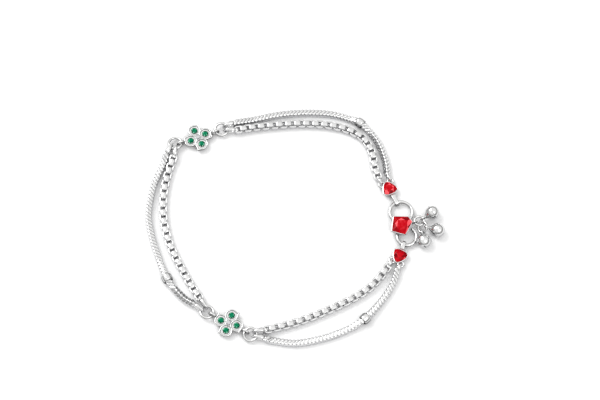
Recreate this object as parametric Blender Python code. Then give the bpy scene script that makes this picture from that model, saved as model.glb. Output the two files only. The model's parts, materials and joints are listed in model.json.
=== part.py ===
"""A payal: an ankle chain of paired strands between two flower links, with an S hook and small bells.

It lies closed on a flat surface. Units are metres, +Z is up, and the surface is at Z = 0.
"""

import math

import bmesh
import bpy
from mathutils import Matrix, Vector
from mathutils.geometry import interpolate_bezier

MM = 0.001

# Clearances
LINK_GAP = 0.1 * MM  # between two wires that pull on each other
STONE_GAP = 0.08 * MM  # round a stone in its setting
FLOOR_GAP = 0.03 * MM  # under the rounded pieces, so that only flat undersides reach the surface
WELD = 0.001 * MM
ROUTE_STEPS = 16
SHARP_ANGLE = math.radians(35)

# Flower links
PETALS = 4
PETAL_RADIUS = 2.2 * MM
PETAL_REACH = 2.65 * MM  # flower centre to stone centre
PETAL_TIP = 4.4 * MM  # flower centre to the pointed tip
PETAL_TIP_TURN = math.radians(-29)
PETAL_LEAN = math.radians(9)  # first petal from the link's axis
PETAL_RIM = 0.46 * MM
PETAL_ARC_POINTS = 8
FLOWER_THICKNESS = 2.1 * MM
PETAL_RECESS = 0.4 * MM
FLOWER_CUP_RADIUS = 1.3 * MM
GREEN_STONE = 2.0 * MM
CENTRE_STONE = 1.9 * MM
STONE_SIDES = 8
STONE_POCKET_FLOOR = 0.7 * MM
ROUND_STONE_GIRDLE = 1.9 * MM
ROUND_STONE_TABLE = 2.4 * MM
TABLE_SHARE = 0.58
CULET_SHARE = 0.12
GIRDLE_EDGE = 0.12 * MM

# Ears, jump rings and the strands' end loops, all of round wire
EAR_WIRE = 0.7 * MM
EAR_HEIGHT = 2.7 * MM
EAR_INNER = 4.35 * MM  # near end of the ear from the flower's centre, in the petal's rim
EAR_TIP = 7.05 * MM  # centre of the ear's outer wire from the flower's centre
JUMP_WIRE = 0.85 * MM
JUMP_DIAMETER = 5.0 * MM
JUMP_ROLL = math.radians(9)
END_WIRE = 0.86 * MM
END_HEIGHT = 3.1 * MM
END_LENGTH = 4.6 * MM
END_OFFSET = 0.74 * MM  # each loop's near end from the middle line of its pair
END_SPLAY = math.radians(9)  # the two loops spread apart by this each
RING_STEPS = 12
RING_SIDES = 6
LOOP_STEPS = 10
LOOP_SIDES = 5

# Snake strands: a square section whose four edges lead and lag by turns
SNAKE_CREST = 1.3 * MM  # centre to an edge on a rib
SNAKE_GROOVE = 1.1 * MM
SNAKE_PITCH = 1.2 * MM
SNAKE_LEAD = 0.35 * MM
SNAKE_TURN_LENGTH = 4.0 * MM  # the strand turns by an eighth over this length after its bead

# Box strands: square band links, turned by a quarter from one to the next
BOX_WIDTH = 2.6 * MM
BOX_BAND = 1.25 * MM
BOX_WALL = 0.58 * MM
BOX_PITCH = 1.52 * MM
BOX_FUSE = 0.1 * MM  # neighbours' end walls share this depth

# Slider beads
BEAD_DIAMETER = 3.5 * MM
BEAD_LENGTH = 2.3 * MM
BEAD_GAP = 0.12 * MM
BEAD_STEPS = 10

# End settings with their rounded-triangle stones
TRILLION_CORNER = 2.35 * MM
TRILLION_SHOULDER = 2.15 * MM
TRILLION_SIDE = 1.75 * MM
TRILLION_SHOULDER_TURN = math.radians(17)
CUP_WALL = 0.35 * MM
CUP_HEIGHT = 2.0 * MM
CUP_FLOOR = 0.6 * MM
END_STONE_TABLE = 2.7 * MM
END_STONE_GIRDLE = 1.8 * MM
BACK_LOOP_WIRE = 0.7 * MM
BACK_LOOP_DIAMETER = 2.5 * MM
BACK_LOOP_REACH = 2.4 * MM
BACK_LOOP_OFFSET = 1.55 * MM
SHORT_END_WIRE = 0.7 * MM
SHORT_END_HEIGHT = 2.7 * MM
SHORT_END_LENGTH = 2.9 * MM
EYELET_BAND = 1.3 * MM
EYELET_WALL = 0.6 * MM
EYELET_INNER = 1.9 * MM

# S hook
HOOK_WIRE = 1.1 * MM
HOOK_STEPS = 15
UPPER_TURN = math.radians(280)
LOWER_TURN = math.radians(270)  # it stops short of the setting, which is the hook's opening
HOOK_LEAVE = math.radians(40)  # where the wire leaves the setting, from the line of the two loops
UPPER_LOOP = {"centre": (34.1, 3.95), "diameter": 8.4 * MM}
LOWER_LOOP = {"centre": (35.75, -4.45), "diameter": 7.3 * MM}

# The clasp's five-sided stone and setting
CLASP_CENTRE = (34.2, -1.25)
CLASP_STONE_REACH = 3.8 * MM
CLASP_STONE_CORNERS = (  # direction in degrees, share of the reach
    (130, 1.0),
    (55, 0.9),
    (20, 0.88),
    (-72, 0.82),
    (-150, 0.94),
)
CLASP_WALL = 0.35 * MM
CLASP_RIM = 2.9 * MM
CLASP_FLOOR = 0.05 * MM  # of silver over the hook's wire
CLASP_GIRDLE = 2.7 * MM
CLASP_TABLE = 3.7 * MM
BELL_EAR_WIRE = 0.5 * MM
BELL_EAR_HEIGHT = 2.1 * MM
BELL_EAR_LENGTH = 2.0 * MM
BELL_EAR_INNER = 3.47 * MM

# Bells and their rings
BELL_RING_1 = {"diameter": 3.8 * MM, "wire": 0.75 * MM, "tilt": 0.0}
BELL_RING_2 = {"diameter": 4.0 * MM, "wire": 0.65 * MM, "tilt": math.radians(40)}
BELL_RING_HEADINGS = (19, -66)  # from the setting to the first ring, and from there to the second
BELL_DIAMETER = 4.5 * MM
BELL_WALL = 0.35 * MM
BELL_SEAM = 0.2 * MM  # the seam stands proud by this
BELL_SEAM_WIDTH = 0.4 * MM
BELL_SLIT = 0.5 * MM
BELL_LOOP_WIRE = 0.6 * MM
BELL_LOOP_DIAMETER = 2.2 * MM
BELL_NECK = 0.5 * MM  # the flared neck's length outside the ball
BELL_NECK_SINK = 0.75 * MM  # and inside it
BELL_NECK_RADIUS = 0.65 * MM
BELL_FLARE_RADIUS = 1.62 * MM
BELL_RING_DROP = 0.6 * MM  # the rings lie lower than the bells' middles
BELL_STEPS = 10
BELL_BANDS = 6
BELLS = (  # the ring that it hangs on, and its heading from there in degrees
    ("bell_upper", 0, 33),
    ("bell_right", 1, -15),
    ("bell_lower", 1, -86),
)

# The plan, in millimetres: X to the right, Y away from the viewer
FLOWERS = {
    "back": {"centre": (-32.0, 30.35), "axis": 19},
    "front": {"centre": (-21.0, -34.1), "axis": -28},
}
JUMP_RINGS = {  # end of the flower, the ring's heading, and how far it has slid inwards in its ear
    "back_right": {"flower": "back", "end": 1, "heading": 30, "slack": 0.0},
    "back_left": {"flower": "back", "end": -1, "heading": 184, "slack": 0.5 * MM},
    "front_left": {"flower": "front", "end": -1, "heading": 150, "slack": 0.3 * MM},
    "front_right": {"flower": "front", "end": 1, "heading": -30, "slack": 0.5 * MM},
}
END_SETTINGS = {  # the apex points to the strands
    "back": {"centre": (30.45, 12.05), "apex": 115, "loop": UPPER_LOOP},
    "front": {"centre": (33.35, -11.25), "apex": 243, "loop": LOWER_LOOP},
}
STRAND_ENDS = {
    "back": ("back_right", "setting_back"),
    "left": ("back_left", "front_left"),
    "front": ("front_right", "setting_front"),
}
SNAKE_ROUTES = {  # chosen points before the slider bead, the bead's place, and the points after it
    "back": {
        "before": [(-13.4, 37.0), (-5.1, 38.8), (3.4, 39.5), (11.7, 39.0), (17.6, 37.3)],
        "bead": (21.2, 35.6),
        "after": [(25.6, 31.0), (27.9, 26.6), (29.4, 21.6)],
        "turned": True,
    },
    "left": {
        "before": [(-43.1, 21.2), (-46.0, 13.4), (-47.4, 3.6), (-46.4, -3.6), (-43.7, -12.1)],
        "bead": (-40.9, -19.0),
        "after": [(-38.2, -22.8), (-35.0, -26.0)],
        "turned": True,
    },
    "front": {
        "before": [(-7.7, -39.7), (0.3, -40.6), (8.4, -39.1), (16.5, -36.1)],
        "bead": (22.0, -32.6),
        "after": [(27.9, -25.8), (31.4, -20.0)],
        "turned": False,
    },
}
BOX_ROUTES = {
    "back": [(-14.0, 34.0), (-5.0, 35.0), (3.4, 35.4), (11.8, 34.7), (17.6, 33.0),
             (22.3, 30.0), (25.0, 25.0), (25.9, 19.5)],
    "left": [(-41.0, 19.2), (-42.4, 12.4), (-42.8, 5.5), (-42.0, -1.0), (-40.2, -7.4),
             (-37.0, -14.2), (-33.4, -20.8)],
    "front": [(-7.7, -36.0), (0.3, -33.8), (8.4, -30.6), (16.5, -26.7), (22.7, -22.9),
              (26.6, -19.0)],
}

# Heights of the wires' centres above the surface
END_LEVEL = END_HEIGHT / 2 + FLOOR_GAP
SHORT_END_LEVEL = SHORT_END_HEIGHT / 2 + FLOOR_GAP
SNAKE_LEVEL = SNAKE_CREST * math.cos(math.pi / 4) + FLOOR_GAP
SNAKE_TURNED_LEVEL = SNAKE_CREST + FLOOR_GAP
BOX_LEVEL = BOX_WIDTH / 2 + FLOOR_GAP
BEAD_LEVEL = BEAD_DIAMETER / 2 + FLOOR_GAP
HOOK_LEVEL = FLOOR_GAP + EYELET_WALL + LINK_GAP + HOOK_WIRE / 2
EYELET_HEIGHT = 2 * (HOOK_LEVEL - FLOOR_GAP)
CLASP_BASE = HOOK_LEVEL - HOOK_WIRE / 4
CLASP_POCKET_FLOOR = HOOK_LEVEL + HOOK_WIRE / 2 + CLASP_FLOOR
BELL_LEVEL = BELL_DIAMETER / 2 + BELL_SEAM + FLOOR_GAP
BELL_RING_LEVEL = BELL_LEVEL - BELL_RING_DROP


def clear_scene():
    for old in list(bpy.data.objects):
        bpy.data.objects.remove(old)


def new_collection(name):
    collection = bpy.data.collections.new(name)
    bpy.context.scene.collection.children.link(collection)
    return collection


def new_material(name, colour, roughness, metallic, transmission=0.0):
    material = bpy.data.materials.new(name)
    material.use_nodes = True
    shader = material.node_tree.nodes["Principled BSDF"]
    shader.inputs["Base Color"].default_value = (*colour, 1)
    shader.inputs["Roughness"].default_value = roughness
    shader.inputs["Metallic"].default_value = metallic
    shader.inputs["Transmission Weight"].default_value = transmission
    material.diffuse_color = (*colour, 1)
    return material


clear_scene()
ANKLET = new_collection("payal_anklet")
SILVER = new_material("silver", (0.93, 0.93, 0.92), 0.2, 1.0)
GREEN = new_material("green_stone", (0.01, 0.33, 0.17), 0.08, 0.0)
RED = new_material("red_stone", (0.62, 0.0, 0.03), 0.06, 0.0)
CLEAR = new_material("clear_stone", (0.85, 0.85, 0.85), 0.06, 0.0)


def plan(point, height=0.0):
    """A place of the plan, given in millimetres, at a height in metres."""
    return Vector((point[0] * MM, point[1] * MM, height))


def heading(degrees):
    angle = math.radians(degrees)
    return Vector((math.cos(angle), math.sin(angle), 0))


def left_of(direction):
    return Vector((-direction.y, direction.x, 0))


def level(direction):
    return Vector((direction.x, direction.y, 0)).normalized()


def upright(direction):
    """The rotation that takes +X to a level direction and keeps +Z up."""
    return Matrix.Rotation(math.atan2(direction.y, direction.x), 4, "Z")


def placed(location, direction):
    return Matrix.Translation(location) @ upright(direction)


def add(name, mesh, material=SILVER, matrix=None):
    piece = bpy.data.objects.new(name, mesh)
    ANKLET.objects.link(piece)
    if matrix is not None:
        piece.matrix_world = matrix
    if not mesh.materials:
        mesh.materials.append(material)
    return piece


def finished(bm, name):
    """The bmesh as a mesh whose faces point out."""
    bmesh.ops.recalc_face_normals(bm, faces=bm.faces)
    mesh = bpy.data.meshes.new(name)
    bm.to_mesh(mesh)
    bm.free()
    return mesh


def evaluated_mesh(piece):
    bpy.context.view_layer.update()
    graph = bpy.context.evaluated_depsgraph_get()
    return bpy.data.meshes.new_from_object(piece.evaluated_get(graph))


def combine(piece, others, operation):
    """Join the others to the piece, or cut it with them, and remove them."""
    for other in others:
        step = piece.modifiers.new(operation.lower(), "BOOLEAN")
        step.operation = operation
        step.solver = "EXACT"
        step.object = other
    mesh = evaluated_mesh(piece)
    piece.modifiers.clear()
    piece.data = mesh
    for other in others:
        bpy.data.objects.remove(other)
    return piece


def from_curve(name, curve, matrix=None):
    """A curve object made a mesh, with its loose caps welded on."""
    guide = bpy.data.objects.new(name, curve)
    ANKLET.objects.link(guide)
    mesh = evaluated_mesh(guide)
    bpy.data.objects.remove(guide)
    bm = bmesh.new()
    bm.from_mesh(mesh)
    bmesh.ops.remove_doubles(bm, verts=bm.verts, dist=WELD)
    return add(name, finished(bm, name), matrix=matrix)


def poly_curve(name, outlines, cyclic):
    curve = bpy.data.curves.new(name, "CURVE")
    for outline in outlines:
        spline = curve.splines.new("POLY")
        spline.points.add(len(outline) - 1)
        for point, place in zip(spline.points, outline):
            point.co = (*place, 1)
        spline.use_cyclic_u = cyclic
    return curve


def plate(name, outlines, bottom, top, matrix=None):
    """A flat plate between two heights; a second outline is its hole."""
    curve = poly_curve(name, [[(x, y, 0) for x, y in outline] for outline in outlines], True)
    curve.dimensions = "2D"
    curve.fill_mode = "BOTH"
    curve.extrude = (top - bottom) / 2
    lift = Matrix.Translation((0, 0, (top + bottom) / 2))
    return from_curve(name, curve, lift if matrix is None else matrix @ lift)


def round_wire(name, points, wire, bevel_resolution):
    curve = poly_curve(name, [points], False)
    curve.dimensions = "3D"
    curve.bevel_depth = wire / 2
    curve.bevel_resolution = bevel_resolution
    curve.use_fill_caps = True
    return from_curve(name, curve)


def round_ring(name, diameter, wire, matrix, steps=RING_STEPS, sides=RING_SIDES):
    """A round ring of round wire, lying flat in its own frame."""
    bpy.ops.mesh.primitive_torus_add(
        major_segments=steps,
        minor_segments=sides,
        major_radius=(diameter - wire) / 2,
        minor_radius=wire / 2,
    )
    made = bpy.context.object
    mesh = made.data
    bpy.data.objects.remove(made)
    return add(name, mesh, matrix=matrix)


def lengthen(vertices, by):
    """Draw a shape's two halves apart along X."""
    for vertex in vertices:
        vertex.co.x += math.copysign(1, vertex.co.x) * by / 2


def long_ring(name, length, height, wire, matrix):
    """A ring that stands on edge along its own X, its round halves drawn apart to the length."""
    ring = round_ring(name, height, wire, None, LOOP_STEPS, LOOP_SIDES)
    lengthen(ring.data.vertices, length - height)
    ring.data.transform(Matrix.Rotation(math.pi / 2, 4, "X"))
    ring.matrix_world = matrix
    return ring


def loft(name, sections):
    """A closed solid through sections of equal numbers of corners."""
    bm = bmesh.new()
    rings = [[bm.verts.new(corner) for corner in section] for section in sections]
    corners = len(rings[0])
    for near, far in zip(rings, rings[1:]):
        for i in range(corners):
            j = (i + 1) % corners
            bm.faces.new((near[i], near[j], far[j], far[i]))
    bm.faces.new(rings[0])
    bm.faces.new(rings[-1])
    bmesh.ops.triangulate(bm, faces=bm.faces)
    return finished(bm, name)


def scaled(outline, share):
    return [(x * share, y * share) for x, y in outline]


def circle_outline(radius, sides):
    turn = 2 * math.pi / sides
    return [(radius * math.cos(i * turn), radius * math.sin(i * turn)) for i in range(sides)]


def stadium_outline(length, height, steps=LOOP_STEPS):
    """A flat-sided oval along X with round ends."""
    radius = height / 2
    shift = length / 2 - radius
    outline = []
    for i in range(steps + 2):
        side = 1 if i <= steps / 2 else -1
        angle = -math.pi / 2 + math.pi * (i if side > 0 else i - 1) / (steps / 2)
        outline.append((side * shift + radius * math.cos(angle), radius * math.sin(angle)))
    return outline


def cut_stone(name, outline, culet, girdle, table):
    """A faceted stone: culet, pavilion, girdle, crown and table."""
    levels = (
        (culet, CULET_SHARE),
        (girdle - GIRDLE_EDGE / 2, 1.0),
        (girdle + GIRDLE_EDGE / 2, 1.0),
        (table, TABLE_SHARE),
    )
    return loft(name, [[(x, y, z) for x, y in scaled(outline, share)] for z, share in levels])


class Route:
    """A smooth line through chosen places, walked by its length."""

    def __init__(self, places):
        self.points = [places[0]]
        for i in range(len(places) - 1):
            here, there = places[i], places[i + 1]
            before = places[max(i - 1, 0)]
            after = places[min(i + 2, len(places) - 1)]
            reach = (there - here).length / 3
            out = here + level(there - before) * reach
            back = there - level(after - here) * reach
            self.points += interpolate_bezier(here, out, back, there, ROUTE_STEPS)[1:]
        self.lengths = [0.0]
        for near, far in zip(self.points, self.points[1:]):
            self.lengths.append(self.lengths[-1] + (far - near).length)
        self.length = self.lengths[-1]

    def at(self, distance):
        """The place at a distance along the line, and the line's direction there."""
        i = 0
        while i < len(self.points) - 2 and self.lengths[i + 1] < distance:
            i += 1
        near, far = self.points[i], self.points[i + 1]
        share = (distance - self.lengths[i]) / (self.lengths[i + 1] - self.lengths[i])
        return near.lerp(far, share), (far - near).normalized()

    def nearest(self, place):
        distances = [(point - place).length for point in self.points]
        return self.lengths[distances.index(min(distances))]

    def frame(self, distance):
        """X along the line, Y level and to its left, Z up."""
        place, along = self.at(distance)
        left = left_of(along).normalized()
        axes = Matrix((along, left, along.cross(left))).transposed()
        return Matrix.Translation(place) @ axes.to_4x4()


def petal_outline(radius):
    """A round petal with one pointed corner, about the flower's centre, along +X."""
    middle = Vector((PETAL_REACH, 0))
    tip = PETAL_TIP * Vector((math.cos(PETAL_TIP_TURN), math.sin(PETAL_TIP_TURN)))
    to_tip = (tip - middle) * (radius / PETAL_RADIUS)
    tip_angle = math.atan2(to_tip.y, to_tip.x)
    open_angle = math.acos(radius / to_tip.length)
    outline = [tuple(middle + to_tip)]
    sweep = (2 * math.pi - 2 * open_angle) / PETAL_ARC_POINTS
    for i in range(PETAL_ARC_POINTS + 1):
        angle = tip_angle + open_angle + i * sweep
        outline.append(tuple(middle + radius * Vector((math.cos(angle), math.sin(angle)))))
    return outline


def petal_turn(number):
    return Matrix.Rotation(PETAL_LEAN + number * 2 * math.pi / PETALS, 4, "Z")


def flower_mesh():
    """Four petals with raised rims round sunk floors, stone pockets, and an ear at each end."""
    above = FLOWER_THICKNESS + PETAL_RECESS
    petals = [
        plate("petal", [petal_outline(PETAL_RADIUS)], 0, FLOWER_THICKNESS, petal_turn(number))
        for number in range(PETALS)
    ]
    flower = combine(petals[0], petals[1:], "UNION")
    floor = FLOWER_THICKNESS - PETAL_RECESS
    recess = petal_outline(PETAL_RADIUS - PETAL_RIM)
    recesses = [plate("recess", [recess], floor, above, petal_turn(n)) for n in range(PETALS)]
    combine(flower, recesses, "DIFFERENCE")
    cup = plate("cup", [circle_outline(FLOWER_CUP_RADIUS, STONE_SIDES)], 0, FLOWER_THICKNESS)
    combine(flower, [cup], "UNION")
    pockets = []
    for place, size in stone_places():
        pocket = circle_outline(size / 2 + STONE_GAP, STONE_SIDES)
        pockets.append(plate("pocket", [pocket], STONE_POCKET_FLOOR, above, place))
    combine(flower, pockets, "DIFFERENCE")
    ear_length = EAR_TIP + EAR_WIRE / 2 - EAR_INNER
    ears = []
    for end in (1, -1):
        middle = Vector((end * (EAR_INNER + ear_length / 2), 0, END_LEVEL))
        ears.append(long_ring("ear", ear_length, EAR_HEIGHT, EAR_WIRE, Matrix.Translation(middle)))
    combine(flower, ears, "UNION")
    return taken_mesh(flower)


def taken_mesh(piece):
    """A piece's mesh, without the object that it was built on."""
    mesh = piece.data
    mesh.transform(piece.matrix_world)
    bpy.data.objects.remove(piece)
    return mesh


def stone_places():
    """Each stone's frame in the flower and its diameter: the petals' first, the middle one last."""
    out = Matrix.Translation((PETAL_REACH, 0, 0))
    places = [(petal_turn(number) @ out, GREEN_STONE) for number in range(PETALS)]
    return places + [(Matrix.Identity(4), CENTRE_STONE)]


def round_stone(name, size):
    outline = circle_outline(size / 2, STONE_SIDES)
    culet = STONE_POCKET_FLOOR + STONE_GAP
    return cut_stone(name, outline, culet, ROUND_STONE_GIRDLE, ROUND_STONE_TABLE)


def build_flowers():
    mesh = flower_mesh()
    green = round_stone("green_stone", GREEN_STONE)
    clear = round_stone("centre_stone", CENTRE_STONE)
    for side, flower in FLOWERS.items():
        matrix = placed(plan(flower["centre"]), heading(flower["axis"]))
        add(f"flower_link_{side}", mesh, SILVER, matrix)
        for number, (place, size) in enumerate(stone_places()):
            if number < PETALS:
                add(f"green_stone_{side}_{number + 1}", green, GREEN, matrix @ place)
            else:
                add(f"centre_stone_{side}", clear, CLEAR, matrix @ place)


def jump_ring_centre(key):
    ring = JUMP_RINGS[key]
    flower = FLOWERS[ring["flower"]]
    along = heading(flower["axis"]) * ring["end"]
    inside = EAR_TIP - EAR_WIRE / 2 - JUMP_WIRE / 2 - LINK_GAP - ring["slack"]
    ear_place = plan(flower["centre"], END_LEVEL) + along * inside
    return ear_place + heading(ring["heading"]) * (JUMP_DIAMETER - JUMP_WIRE) / 2


def build_jump_rings():
    for key, ring in JUMP_RINGS.items():
        matrix = placed(jump_ring_centre(key), heading(ring["heading"]))
        roll = Matrix.Rotation(JUMP_ROLL, 4, "X")
        round_ring(f"jump_ring_{key}", JUMP_DIAMETER, JUMP_WIRE, matrix @ roll)


def chosen_points(strand):
    """The snake's and the box chain's chosen places in order."""
    snake = SNAKE_ROUTES[strand]
    snake_points = snake["before"] + [snake["bead"]] + snake["after"]
    return [plan(point) for point in snake_points], [plan(point) for point in BOX_ROUTES[strand]]


def strand_end(strand, index, snake_side):
    """One end of a pair of strands: its loop's frame and sizes, for the snake or the box strand."""
    key = STRAND_ENDS[strand][index]
    snake, box = (points[-index] for points in chosen_points(strand))
    if key.startswith("setting"):
        setting = END_SETTINGS[strand]
        away = heading(setting["apex"])
        centre = plan(setting["centre"], SHORT_END_LEVEL)
        loop = {"length": SHORT_END_LENGTH, "height": SHORT_END_HEIGHT, "wire": SHORT_END_WIRE}
        ring_radius = (BACK_LOOP_DIAMETER - BACK_LOOP_WIRE) / 2
        near = BACK_LOOP_REACH + ring_radius - (BACK_LOOP_WIRE + loop["wire"]) / 2 - LINK_GAP
        offset = BACK_LOOP_OFFSET
        splay = 0
    else:
        centre = jump_ring_centre(key)
        away = level((snake + box) / 2 - centre)
        loop = {"length": END_LENGTH, "height": END_HEIGHT, "wire": END_WIRE}
        ring_radius = (JUMP_DIAMETER - JUMP_WIRE) / 2
        inside = ring_radius - (JUMP_WIRE + loop["wire"]) / 2 - LINK_GAP
        offset = END_OFFSET
        near = math.sqrt(inside**2 - offset**2)
        splay = END_SPLAY
    side = math.copysign(1, (snake - box).dot(left_of(away))) * (1 if snake_side else -1)
    start = centre + away * near + left_of(away) * side * offset
    along = Matrix.Rotation(side * splay, 3, "Z") @ away
    reach = loop["length"] - loop["wire"]
    loop["matrix"] = placed(start + along * reach / 2, along)
    loop["far"] = start + along * reach
    return loop


def end_loops(strand, snake_side):
    ends = [strand_end(strand, index, snake_side) for index in (0, 1)]
    rings = [
        long_ring("end_loop", end["length"], end["height"], end["wire"], end["matrix"])
        for end in ends
    ]
    return ends, rings


def raised(points, level):
    return [plan(point, level) for point in points]


def snake_route(strand, ends):
    route = SNAKE_ROUTES[strand]
    after_level = SNAKE_TURNED_LEVEL if route["turned"] else SNAKE_LEVEL
    places = [ends[0]["far"]] + raised(route["before"], SNAKE_LEVEL)
    places += raised([route["bead"]], BEAD_LEVEL) + raised(route["after"], after_level)
    return Route(places + [ends[1]["far"]])


def snake_section(route, distance, size, turn):
    """Four corners that lead and lag by turns along the strand."""
    frame = route.frame(distance)
    corners = []
    for i in range(4):
        angle = math.pi / 4 + i * math.pi / 2 + turn
        lead = -SNAKE_LEAD if i % 2 else SNAKE_LEAD
        corner = (lead, size * math.cos(angle), size * math.sin(angle))
        corners.append(frame @ Vector(corner))
    return corners


def build_snake_strand(strand):
    ends, rings = end_loops(strand, True)
    route = snake_route(strand, ends)
    bead_at = route.nearest(plan(SNAKE_ROUTES[strand]["bead"], BEAD_LEVEL))
    span = route.length + 2 * SNAKE_LEAD  # both ends reach into their loops' wire
    ribs = round(span / SNAKE_PITCH)
    sections = []
    for i in range(2 * ribs + 1):
        distance = span * i / (2 * ribs) - SNAKE_LEAD
        turned = (distance - bead_at - BEAD_LENGTH / 2) / SNAKE_TURN_LENGTH
        turned = min(max(turned, 0), 1) if SNAKE_ROUTES[strand]["turned"] else 0
        size = SNAKE_GROOVE if i % 2 else SNAKE_CREST
        sections.append(snake_section(route, distance, size, turned * math.pi / 4))
    name = f"snake_strand_{strand}"
    combine(add(name, loft(name, sections)), rings, "UNION")
    build_bead(strand, route.frame(bead_at))


def build_bead(strand, frame):
    """A barrel-shaped bead turned about the strand, with a bore that clears it."""
    bore = (SNAKE_CREST + BEAD_GAP) / math.cos(math.pi / BEAD_STEPS)
    outer = BEAD_DIAMETER / 2
    lip = (outer + bore) / 2
    half = BEAD_LENGTH / 2
    profile = [
        (-half, bore), (-half, lip), (-half / 2, outer), (half / 2, outer), (half, lip), (half, bore),
    ]
    bm = bmesh.new()
    corners = [bm.verts.new((x, 0, radius)) for x, radius in profile]
    edges = [bm.edges.new(pair) for pair in zip(corners, corners[1:] + corners[:1])]
    bmesh.ops.spin(
        bm, geom=corners + edges, axis=(1, 0, 0), cent=(0, 0, 0),
        angle=2 * math.pi, steps=BEAD_STEPS, use_merge=True,
    )
    add(f"slider_bead_{strand}", finished(bm, "slider_bead"), SILVER, frame)


def box_link(pitch):
    """A square link of flat band, turned in four steps, standing open upwards."""
    length = pitch + 2 * BOX_WALL - BOX_FUSE
    bm = bmesh.new()
    to_corner = math.sqrt(2)
    half_band = BOX_BAND / 2
    outer, inner = BOX_WIDTH / 2, BOX_WIDTH / 2 - BOX_WALL
    profile = [(inner, -half_band), (outer, -half_band), (outer, half_band), (inner, half_band)]
    corners = [bm.verts.new((radius, radius, z)) for radius, z in profile]
    edges = [bm.edges.new(pair) for pair in zip(corners, corners[1:] + corners[:1])]
    bmesh.ops.spin(
        bm, geom=corners + edges, axis=(0, 0, 1), cent=(0, 0, 0),
        angle=2 * math.pi, steps=4, use_merge=True,
    )
    lengthen(bm.verts, length - BOX_WIDTH)
    return finished(bm, "box_link")


def build_box_strand(strand):
    ends, rings = end_loops(strand, False)
    places = [ends[0]["far"]] + raised(BOX_ROUTES[strand], BOX_LEVEL) + [ends[1]["far"]]
    route = Route(places)
    inset = (BOX_PITCH + BOX_WALL - BOX_FUSE) / 2
    span = route.length - 2 * inset
    links = 2 * round(span / BOX_PITCH / 2) + 1
    pitch = span / (links - 1)
    link = box_link(pitch)
    joined = [bmesh.new(), bmesh.new()]
    for number in range(links):
        quarter = Matrix.Rotation(math.pi / 2 * (number % 2), 4, "X")
        copy = link.copy()
        copy.transform(route.frame(inset + number * pitch) @ quarter)
        joined[number % 2].from_mesh(copy)
    name = f"box_strand_{strand}"
    level_links, upright_links = (add(name, finished(bm, name)) for bm in joined)
    combine(level_links, [upright_links], "UNION")
    combine(level_links, rings, "UNION")


def trillion_outline():
    """A triangle with rounded corners and full sides, one corner along +X."""
    outline = []
    for i in range(3):
        corner = i * 2 * math.pi / 3
        for turn, radius in (
            (-TRILLION_SHOULDER_TURN, TRILLION_SHOULDER),
            (0, TRILLION_CORNER),
            (TRILLION_SHOULDER_TURN, TRILLION_SHOULDER),
            (math.pi / 3, TRILLION_SIDE),
        ):
            angle = corner + turn
            outline.append((radius * math.cos(angle), radius * math.sin(angle)))
    return outline


def grown(outline, by):
    """The outline moved outwards from its middle."""
    return [tuple(Vector(point) * (1 + by / Vector(point).length)) for point in outline]


def build_end_setting(side):
    setting = END_SETTINGS[side]
    matrix = placed(plan(setting["centre"]), heading(setting["apex"]))
    stone = trillion_outline()
    pocket = grown(stone, STONE_GAP)
    cup = plate("cup", [grown(pocket, CUP_WALL)], FLOOR_GAP, CUP_HEIGHT)
    fused = [front_eyelet(matrix.inverted() @ plan(setting["loop"]["centre"]), setting["loop"])]
    for offset in (BACK_LOOP_OFFSET, -BACK_LOOP_OFFSET):
        place = Matrix.Translation((BACK_LOOP_REACH, offset, SHORT_END_LEVEL))
        loop = round_ring("back_loop", BACK_LOOP_DIAMETER, BACK_LOOP_WIRE, place, LOOP_STEPS, LOOP_SIDES)
        fused.append(loop)
    combine(cup, fused, "UNION")
    above = EYELET_HEIGHT + CUP_HEIGHT
    combine(cup, [plate("pocket", [pocket], CUP_FLOOR, above)], "DIFFERENCE")
    add(f"end_setting_{side}", taken_mesh(cup), SILVER, matrix)
    culet = CUP_FLOOR + STONE_GAP
    name = f"end_stone_{side}"
    add(name, cut_stone(name, stone, culet, END_STONE_GIRDLE, END_STONE_TABLE), RED, matrix)


def front_eyelet(to_hook, loop):
    """A flat band on edge, from the setting towards a hook's loop and round its wire."""
    to_hook = Vector((to_hook.x, to_hook.y, 0))
    wire_at = to_hook.length - (loop["diameter"] - HOOK_WIRE) / 2
    tip = wire_at + HOOK_WIRE / 2 + LINK_GAP + EYELET_WALL
    length = tip - EYELET_INNER
    outer = stadium_outline(length, EYELET_HEIGHT)
    inner = stadium_outline(length - 2 * EYELET_WALL, EYELET_HEIGHT - 2 * EYELET_WALL)
    middle = to_hook.normalized() * (EYELET_INNER + length / 2)
    middle.z = HOOK_LEVEL
    matrix = placed(middle, to_hook) @ Matrix.Rotation(math.pi / 2, 4, "X")
    return plate("front_eyelet", [outer, inner], -EYELET_BAND / 2, EYELET_BAND / 2, matrix)


def arc(loop, start, turn):
    """Points round a loop of the hook, from one angle through a signed turn."""
    radius = (loop["diameter"] - HOOK_WIRE) / 2
    centre = plan(loop["centre"], HOOK_LEVEL)
    angles = [start + turn * i / HOOK_STEPS for i in range(HOOK_STEPS + 1)]
    return [centre + radius * Vector((math.cos(a), math.sin(a), 0)) for a in angles]


def hook_wire():
    """One wire: round the upper loop, under the stone, and round the lower loop to its opening."""
    line = plan(LOWER_LOOP["centre"]) - plan(UPPER_LOOP["centre"])
    down = math.atan2(line.y, line.x)
    points = arc(UPPER_LOOP, down - HOOK_LEAVE, -UPPER_TURN)
    points += arc(LOWER_LOOP, down + math.pi + HOOK_LEAVE, LOWER_TURN)
    return round_wire("hook_wire", points, HOOK_WIRE, 2)


def clasp_outline():
    return [
        tuple(CLASP_STONE_REACH * share * heading(degrees).to_2d())
        for degrees, share in reversed(CLASP_STONE_CORNERS)
    ]


def halved(outline):
    """The outline with a point added at the middle of each side."""
    points = []
    for here, there in zip(outline, outline[1:] + outline[:1]):
        points += [here, tuple((Vector(here) + Vector(there)) / 2)]
    return points


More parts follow.
